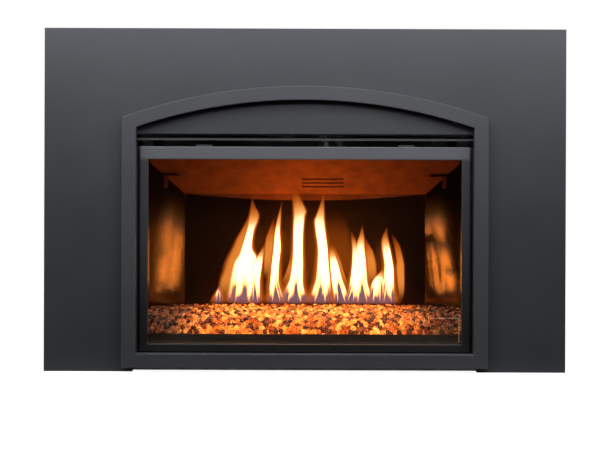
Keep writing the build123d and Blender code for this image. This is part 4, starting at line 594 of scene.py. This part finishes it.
top_layer = bead_heap(seed=11, sink=0, segments=8, rings=5)
top_beads = piece("fire_glass_top", top_layer, amber_glass, "insert")
under_layer = bead_heap(seed=23, sink=1.2 * bead_radius, segments=6, rings=4)
under_beads = piece("fire_glass_under", under_layer, amber_glass, "insert")
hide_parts("fire_glass_bed")
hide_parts("fire_glass_bed")

# %% [markdown]
# ## Flames: the shape
# A flame has no skin, but a mesh needs one. Each tongue is a flat sheet rolled into a thin,
# lens-shaped sleeve: a grid whose width goes once round the sleeve and whose height runs from foot
# to tip. The sleeve follows a few chosen rows of height, left edge and right edge, in millimetres,
# with a smooth curve between them. Both ends run to a point, so the sleeve is closed. The rows are
# measured in the plane through the burner's middle; a sleeve that stands further back is drawn
# larger about the camera's axis, so it keeps its place in the picture. One wide, faint sleeve
# behind the others stands for the thin glow between the right-hand tongues.

# %% Flame shapes
burner_low, burner_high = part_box("burner_box")
burner_y = (burner_low[1] + burner_high[1]) / 2
flame_foot = bed_high.z
row_lean = 16 * mm
read_distance = camera_distance + burner_y - surround_front_y
front_tongues = {
    "ember": [(6, -203, -177), (18, -199, -179), (30, -195, -182), (40, -191, -185), (47, -189, -187)],
    "left_finger": [(6, -122, -93), (30, -120, -96), (61, -118, -96), (96, -113, -91), (113, -104, -89),
                    (130, -94, -87), (141, -88, -86)],
    "tallest": [(6, -60, 16), (20, -56, 12), (32, -50, 6), (46, -43, 1), (62, -36, -1), (96, -30, -1),
                (130, -28, -2), (164, -28, -1), (198, -28, 3), (211, -29, 6), (234, -30, -5),
                (250, -31, -12), (259, -29, -17)],
    "low_right": [(6, 58, 104), (24, 60, 98), (44, 58, 91), (62, 56, 84), (96, 53, 75), (113, 52, 70),
                  (130, 52, 64), (140, 56, 58)],
    "fifth_finger": [(6, 82, 116), (22, 88, 116), (36, 94, 117), (60, 98, 118), (90, 102, 120),
                     (124, 103, 118), (147, 101, 113), (158, 101, 107), (165, 102, 103)],
    "shoulder": [(6, 136, 178), (24, 139, 176), (44, 142, 176), (56, 147, 176), (66, 154, 174),
                 (76, 164, 174), (88, 171, 174)],
}
middle_tongues = {
    "sail_core": [(6, -178, -95), (40, -171, -97), (61, -168, -97), (96, -160, -97), (113, -148, -103),
                  (130, -140, -113), (164, -130, -110), (190, -126, -100), (204, -124, -99),
                  (220, -121, -108), (236, -118, -115)],
    "second": [(6, -86, -38), (20, -83, -42), (32, -80, -47), (44, -79, -52), (62, -77, -55), (96, -74, -54),
               (130, -70, -51), (164, -67, -53), (198, -60, -52), (216, -55, -51), (234, -50, -49)],
    "fourth": [(6, 2, 66), (18, 4, 64), (29, 9, 62), (44, 15, 61), (62, 21, 59), (96, 25, 55), (130, 26, 52),
               (164, 21, 48), (188, 18, 46), (199, 22, 45), (216, 29, 44), (233, 35, 43), (252, 41, 42)],
    "fifth": [(6, 98, 156), (24, 100, 150), (40, 101, 145), (59, 102, 140), (98, 104, 137), (124, 107, 134),
              (150, 116, 132), (164, 121, 130), (182, 126, 127)],
    "eighth": [(6, 156, 206), (30, 164, 199), (59, 169, 197), (85, 172, 196), (98, 172, 194), (124, 168, 190),
               (144, 167, 186), (158, 171, 183), (176, 180, 182)],
}
rear_tongues = {
    "left_sail": [(16, -194, -160), (36, -193, -148), (61, -190, -130), (79, -185, -112),
                  (96, -181, -105), (113, -173, -104), (130, -163, -108), (147, -155, -110),
                  (164, -145, -106), (180, -136, -101), (200, -126, -99), (222, -121, -108),
                  (238, -118, -116)],
    "rear_left": [(60, -92, -74), (90, -92, -70), (120, -91, -67), (147, -88, -65), (164, -82, -65),
                  (182, -75, -66), (198, -70, -68)],
    "tallest_veil": [(42, -55, -46), (58, -50, -36), (78, -42, -28), (100, -35, -24), (125, -31, -22)],
    "low_right_veil": [(36, 86, 98), (55, 80, 95), (78, 72, 87), (100, 66, 80), (124, 60, 70), (146, 56, 59)],
    "rear_middle": [(44, 134, 158), (72, 133, 160), (98, 132, 158), (111, 130, 155), (124, 128, 151),
                    (137, 126, 143), (158, 128, 131)],
    "rear_right": [(12, 206, 214), (34, 203, 219), (62, 200, 220), (85, 198, 220), (98, 199, 219),
                   (120, 197, 214), (137, 194, 209), (150, 191, 201), (162, 190, 192)],
}
back_glow = {
    "right_glow": [(30, 44, 96), (70, 30, 112), (110, 26, 116), (150, 30, 110), (185, 38, 98),
                   (215, 50, 80)],
}


def row_at(rows, rise):
    """Height, left and right at a share of the way up, on a smooth curve through the rows."""
    place = rise * (len(rows) - 1)
    start = min(int(place), len(rows) - 2)
    t = place - start
    near = [rows[max(0, min(len(rows) - 1, start + step))] for step in (-1, 0, 1, 2)]
    return [
        0.5 * (2 * b + (c - a) * t + (2 * a - 5 * b + 4 * c - d) * t**2 + (3 * b - a - 3 * c + d) * t**3)
        for a, b, c, d in zip(*near)
    ]


print("tongues:", sum(len(row) for row in (front_tongues, middle_tongues, rear_tongues, back_glow)))

# %% [markdown]
# ## Flames: warmth, veil and blue
# Three attributes carry what a camera sees in a real flame. *Warmth* is high in the core and falls
# off towards the edges and the tip. *Veil* is how much of what lies behind is covered: the edges
# are soft, and the foot is nearly clear. *Blue* marks the foot, where the gas burns before it
# glows: it climbs highest in the middle of a tongue, which leaves two bright legs at its sides.
# They are stored on the vertices, because they belong to the flame's shape. Seen from its end a
# thin sleeve would look empty, so a round core of even warmth stands inside each bright one.

# %% Flame sleeves
flame_sides = 28
flame_rows = 56
sleeve_depth = 18 * mm
# how deep a sleeve is for half its width
sleeve_fullness, core_fullness = 1.1, 2.2
core_taper = 0.8
closing_share = 0.02
# where the blue ends, in millimetres of height, and how that varies from leg to leg
blue_middle, leg_low, leg_swing = 20, 12, 16
leg_wave_x, leg_wave_y = 0.27, 0.4
blue_below, blue_above = 12, 16
# how much warmth and veil the tip loses, and how much veil the blue loses
tip_cooling, tip_clearing, blue_clearing = 0.93, 0.9, 0.45


def ease(value, low, high):
    """Smooth step from 0 at low to 1 at high."""
    t = max(0.0, min(1.0, (value - low) / (high - low)))
    return t * t * (3 - 2 * t)


def add_tongue(shape, rows, y, heat, cover, grow=0.0, width=1.0, core=False, foot=16, burning=1.0):
    """Adds one tongue at a depth, grown or narrowed sideways, with its warmth, veil and blue."""
    enlarge = (camera_distance + y - surround_front_y) / read_distance
    layers = shape.verts.layers.float
    made = bmesh.ops.create_grid(shape, x_segments=flame_sides, y_segments=flame_rows, size=1.0)["verts"]
    reach = rows[-1][0] - rows[0][0]
    for vert in made:
        way = vert.co.x * pi
        rise = (vert.co.y + 1) / 2
        height, left, right = row_at(rows, rise)
        up = (height - rows[0][0]) / reach
        closed = ease(rise, 0, closing_share) * (1 if rise < 1 else 0)
        slim = 1 - core_taper * ease(up, 0.5, 0.9) if core else 1
        half = (max(right - left, 0) / 2 * width * slim + grow * (1 - up)) * mm * closed
        across = cos(way)
        side = 1 - abs(across)
        depth = min(core_fullness * half if core else sleeve_fullness * half, sleeve_depth)
        x = (left + right) / 2 + across * half / mm
        vert.co = Vector((x * mm * enlarge, y + row_lean * up**1.5 + sin(way) * depth,
                          camera_height + (flame_foot + height * mm - camera_height) * enlarge))
        leg_rise = leg_low + leg_swing * (1 + cos(leg_wave_x * x + leg_wave_y * y / mm))
        legs = blue_middle + leg_rise * ease(side, 0, 0.5)
        blue = burning * (1 - ease(height, legs - blue_below, legs + blue_above))
        side_heat = 1 if core else ease(side, -0.06, 0.45)
        side_cover = 1 if core else ease(side, 0, 0.5)
        tip_heat = 1 - tip_cooling * ease(up, 0.5, 1.02)
        tip_cover = 1 - tip_clearing * ease(up, 0.68, 1.0)
        foot_cover = ease(height, rows[0][0], rows[0][0] + foot)
        vert[layers["blue"]] = blue
        vert[layers["warmth"]] = heat * side_heat * tip_heat
        vert[layers["veil"]] = cover * side_cover * tip_cover * foot_cover * (1 - blue_clearing * blue)
    bmesh.ops.remove_doubles(shape, verts=made, dist=0.001 * mm)


def flame_piece(name, tongues, y, heat=1.0, cover=1.0, **form):
    """A row of tongues as one piece."""
    shape = bmesh.new()
    for layer in ("warmth", "veil", "blue"):
        shape.verts.layers.float.new(layer)
    for rows in tongues.values():
        add_tongue(shape, rows, y, heat, cover, **form)
    bmesh.ops.recalc_face_normals(shape, faces=shape.faces)
    return piece(name, shape, flame_gas, "insert")


print("sleeve:", flame_sides, "by", flame_rows)

# %% [markdown]
# ## Flames: the gas
# Sooty gas glows orange everywhere; the core only looks white because it is many times too bright
# for the camera. The material does the same: warmth picks the brightness of an orange glow, and the
# picture clips the core to white, with a peach rim. The black panels reflect a twenty-fifth of it,
# so the flames turn orange again in them. Near the burner the gas is still violet. A stretched
# noise breaks the glow into upright licks.

# %% Flame gas
flame_gas, gas = shader("flame_gas", Base_Color=(0, 0, 0, 1), Roughness=1.0, Specular_IOR_Level=0.0,
                        Emission_Strength=24.0)
gas_tree = flame_gas.node_tree
warmth_read = node(gas_tree, "ShaderNodeAttribute", attribute_name="warmth")
veil_read = node(gas_tree, "ShaderNodeAttribute", attribute_name="veil")
gas_place = node(gas_tree, "ShaderNodeTexCoord")
gas_stretch = node(gas_tree, "ShaderNodeMapping")
gas_stretch.inputs["Scale"].default_value = (60.0, 20.0, 9.0)
licks = node(gas_tree, "ShaderNodeTexNoise")
licks.inputs["Scale"].default_value = 1.0
lick_range = node(gas_tree, "ShaderNodeMapRange")
lick_range.inputs["To Min"].default_value = 0.75
lick_range.inputs["To Max"].default_value = 1.2
lick_warmth = node(gas_tree, "ShaderNodeMath", operation="MULTIPLY", use_clamp=True)
gas_ramp = node(gas_tree, "ShaderNodeValToRGB")
gas_ramp.color_ramp.elements[0].color = (0.010, 0.0010, 0.00003, 1)
gas_ramp.color_ramp.elements[1].color = (1.0, 0.29, 0.046, 1)
gas_tones = {
    0.14: (0.026, 0.0048, 0.0003, 1), 0.28: (0.040, 0.0125, 0.0020, 1), 0.42: (0.055, 0.0225, 0.0062, 1),
    0.56: (0.110, 0.0460, 0.0220, 1), 0.75: (0.45, 0.135, 0.042, 1),
}
for spot, colour in gas_tones.items():
    gas_ramp.color_ramp.elements.new(spot).color = colour
blue_read = node(gas_tree, "ShaderNodeAttribute", attribute_name="blue")
foot_mix = node(gas_tree, "ShaderNodeMix", data_type="RGBA")
foot_mix.inputs["B"].default_value = (0.0082, 0.0050, 0.0074, 1)
wire(gas_tree, gas_place.outputs["Object"], gas_stretch.inputs["Vector"])
wire(gas_tree, gas_stretch.outputs["Vector"], licks.inputs["Vector"])
wire(gas_tree, licks.outputs["Fac"], lick_range.inputs["Value"])
wire(gas_tree, warmth_read.outputs["Fac"], lick_warmth.inputs[0])
wire(gas_tree, lick_range.outputs["Result"], lick_warmth.inputs[1])
wire(gas_tree, lick_warmth.outputs["Value"], gas_ramp.inputs["Fac"])
wire(gas_tree, blue_read.outputs["Fac"], foot_mix.inputs["Factor"])
wire(gas_tree, gas_ramp.outputs["Color"], foot_mix.inputs["A"])
wire(gas_tree, foot_mix.outputs["Result"], gas.inputs["Emission Color"])
wire(gas_tree, veil_read.outputs["Fac"], gas.inputs["Alpha"])
front_y = burner_y + 36 * mm
middle_y = burner_y + 64 * mm
rear_y = burner_y + 76 * mm
flame_row = [
    flame_piece("flame_front", front_tongues, front_y),
    flame_piece("flame_front_core", front_tongues, front_y, width=0.4, core=True),
    flame_piece("flame_middle", middle_tongues, middle_y),
    flame_piece("flame_middle_core", middle_tongues, middle_y, width=0.4, core=True),
    flame_piece("flame_rear", rear_tongues, rear_y, heat=0.26, cover=0.9, foot=55, burning=0),
    flame_piece("flame_halo", front_tongues | middle_tongues, rear_y, heat=0.16, cover=0.6, grow=13.0,
                burning=0),
    flame_piece("flame_glow", back_glow, rear_y, heat=0.15, cover=0.14, foot=60, burning=0),
]
for flame in flame_row:
    flame.visible_diffuse = False

# %% [markdown]
# ## Light from the fire
# Glowing sleeves make a noisy light, so small warm lamps inside the flames light the ceiling, the
# walls and the beads. They are hidden from the camera and from reflections, where the sleeves do
# the work.

# %% Fire lamps
def fire_lamp(name, place, power, colour=(1.0, 0.22, 0.02)):
    """A small warm lamp that stands for part of the fire and doesn't show itself."""
    data = bpy.data.lights.new(name, "POINT")
    data.energy = power
    data.color = colour
    data.shadow_soft_size = 0.03
    lamp = bpy.data.objects.new(name, data)
    lamp.location = place
    lamp.visible_camera = False
    lamp.visible_glossy = False
    lamp.visible_transmission = False
    bpy.context.scene.collection.objects.link(lamp)


fire_places = [(-0.10, 0.20), (-0.02, 0.26), (0.06, 0.22), (0.14, 0.17)]
for index, (x, z) in enumerate(fire_places):
    fire_lamp(f"fire_lamp_{index}", (x, front_y, z), power=0.66)
print("fire lamps:", len(fire_places))

# %% [markdown]
# ## Studio light
# Four lamps that the camera doesn't see. A wide one overhead lights the top of the surround more
# than its foot, as in the photograph. A second one further forward and lower reaches under the arch
# and keeps the shadow there narrow. A weak fill softens the front, and the last lights the casing
# from behind for the other views. A black flag in front of the insert and a black cloth on the
# floor before it keep the bright room out of the glass and the paint, as a photographer would do.
# The camera doesn't see them either.

# %% Studio lamps
def area_lamp(name, place, aim, size_x, size_y, power):
    """A rectangular lamp that looks from a place to an aim."""
    data = bpy.data.lights.new(name, "AREA")
    data.shape = "RECTANGLE"
    data.size = size_x
    data.size_y = size_y
    data.energy = power
    data.color = (0.97, 0.97, 1.05)
    lamp = bpy.data.objects.new(name, data)
    look = Vector(aim) - Vector(place)
    lamp.matrix_world = Matrix.Translation(place) @ look.to_track_quat("-Z", "Y").to_matrix().to_4x4()
    lamp.visible_camera = False
    bpy.context.scene.collection.objects.link(lamp)


area_lamp("overhead_softbox", (0, -0.55, 1.20), aim=(0, 0.0, 0.60), size_x=3.2, size_y=0.35, power=18)
area_lamp("front_softbox", (0, -0.90, 0.98), aim=(0, 0.0, 0.55), size_x=2.6, size_y=0.25, power=9)
area_lamp("front_fill", (0.9, -2.3, 1.1), aim=(0.1, 0, 0.3), size_x=1.2, size_y=0.8, power=0.8)
area_lamp("rear_softbox", (0.6, 2.4, 1.9), aim=(0, 0.2, 0.3), size_x=3.0, size_y=2.0, power=20)
print("studio lamps:", [lamp.name for lamp in bpy.data.lights])

# %% Black flag and cloth
def flat_panel(name, half_side, place, colour):
    """A flat stage panel."""
    sheet = bmesh.new()
    bmesh.ops.create_grid(sheet, x_segments=1, y_segments=1, size=half_side, matrix=place)
    mesh = bpy.data.meshes.new(name)
    sheet.to_mesh(mesh)
    sheet.free()
    finish, _ = shader(name, Base_Color=colour, Roughness=0.9, Specular_IOR_Level=0.0)
    mesh.materials.append(finish)
    panel = bpy.data.objects.new(name, mesh)
    bpy.context.scene.collection.objects.link(panel)
    return panel, finish


flag_place = Matrix.Translation((0, -3.0, 1.0)) @ Matrix.Rotation(radians(-90), 4, "X")
flag, _ = flat_panel("black_flag", 2.6, flag_place, grey(0.01))
flag.visible_camera = False
flag.visible_diffuse = False
flag.visible_shadow = False
cloth_place = Matrix.Translation((0, -1.56, 0.5 * mm)) @ Matrix.Diagonal((2, 1, 1, 1))
cloth, _ = flat_panel("black_cloth", 1.5, cloth_place, grey(0.01))
cloth.visible_camera = False
cloth.visible_shadow = False
print("flag and cloth ready")

# %% [markdown]
# ## Floor and background
# The floor is pale and the room is white. The world lights the object softly, and only looks white:
# rays from the camera, from reflections and through glass see it at full strength, and the others
# at a lower one. The floor does the same, and keeps a little of the object's shadow.

# %% Floor
_, floor_finish = flat_panel("studio_floor", 4.0, Matrix.Identity(4), grey(0.4))
floor_tree = floor_finish.node_tree
floor_shader = floor_tree.nodes["Principled BSDF"]
floor_shader.inputs["Emission Color"].default_value = (1, 1, 1, 1)
floor_ray = node(floor_tree, "ShaderNodeLightPath")
floor_place = node(floor_tree, "ShaderNodeTexCoord")
floor_reach = node(floor_tree, "ShaderNodeVectorMath", operation="LENGTH")
floor_fade = node(floor_tree, "ShaderNodeMapRange", interpolation_type="SMOOTHSTEP")
floor_fade.inputs["From Min"].default_value = 0.8
floor_fade.inputs["From Max"].default_value = 2.4
floor_fade.inputs["To Min"].default_value = 0.93
floor_fade.inputs["To Max"].default_value = 1.0
floor_level = node(floor_tree, "ShaderNodeMath", operation="MULTIPLY")
wire(floor_tree, floor_place.outputs["Object"], floor_reach.inputs[0])
wire(floor_tree, floor_reach.outputs["Value"], floor_fade.inputs["Value"])
wire(floor_tree, floor_fade.outputs["Result"], floor_level.inputs[1])
wire(floor_tree, floor_ray.outputs["Is Camera Ray"], floor_level.inputs[0])
wire(floor_tree, floor_level.outputs["Value"], floor_shader.inputs["Emission Strength"])
print("floor ready")

# %% World
world = bpy.data.worlds.new("plain_studio")
world.use_nodes = True
bpy.context.scene.world = world
world_tree = world.node_tree
ray = node(world_tree, "ShaderNodeLightPath")
seen = node(world_tree, "ShaderNodeMath", operation="MAXIMUM")
seen_too = node(world_tree, "ShaderNodeMath", operation="MAXIMUM")
level = node(world_tree, "ShaderNodeMapRange")
level.inputs["To Min"].default_value = 0.04
level.inputs["To Max"].default_value = 1.0
wire(world_tree, ray.outputs["Is Camera Ray"], seen.inputs[0])
wire(world_tree, ray.outputs["Is Transmission Ray"], seen.inputs[1])
wire(world_tree, seen.outputs["Value"], seen_too.inputs[0])
wire(world_tree, ray.outputs["Is Glossy Ray"], seen_too.inputs[1])
wire(world_tree, seen_too.outputs["Value"], level.inputs["Value"])
wire(world_tree, level.outputs["Result"], world_tree.nodes["Background"].inputs["Strength"])
world_tree.nodes["Background"].inputs["Color"].default_value = (1, 1, 1, 1)
print("world ready")
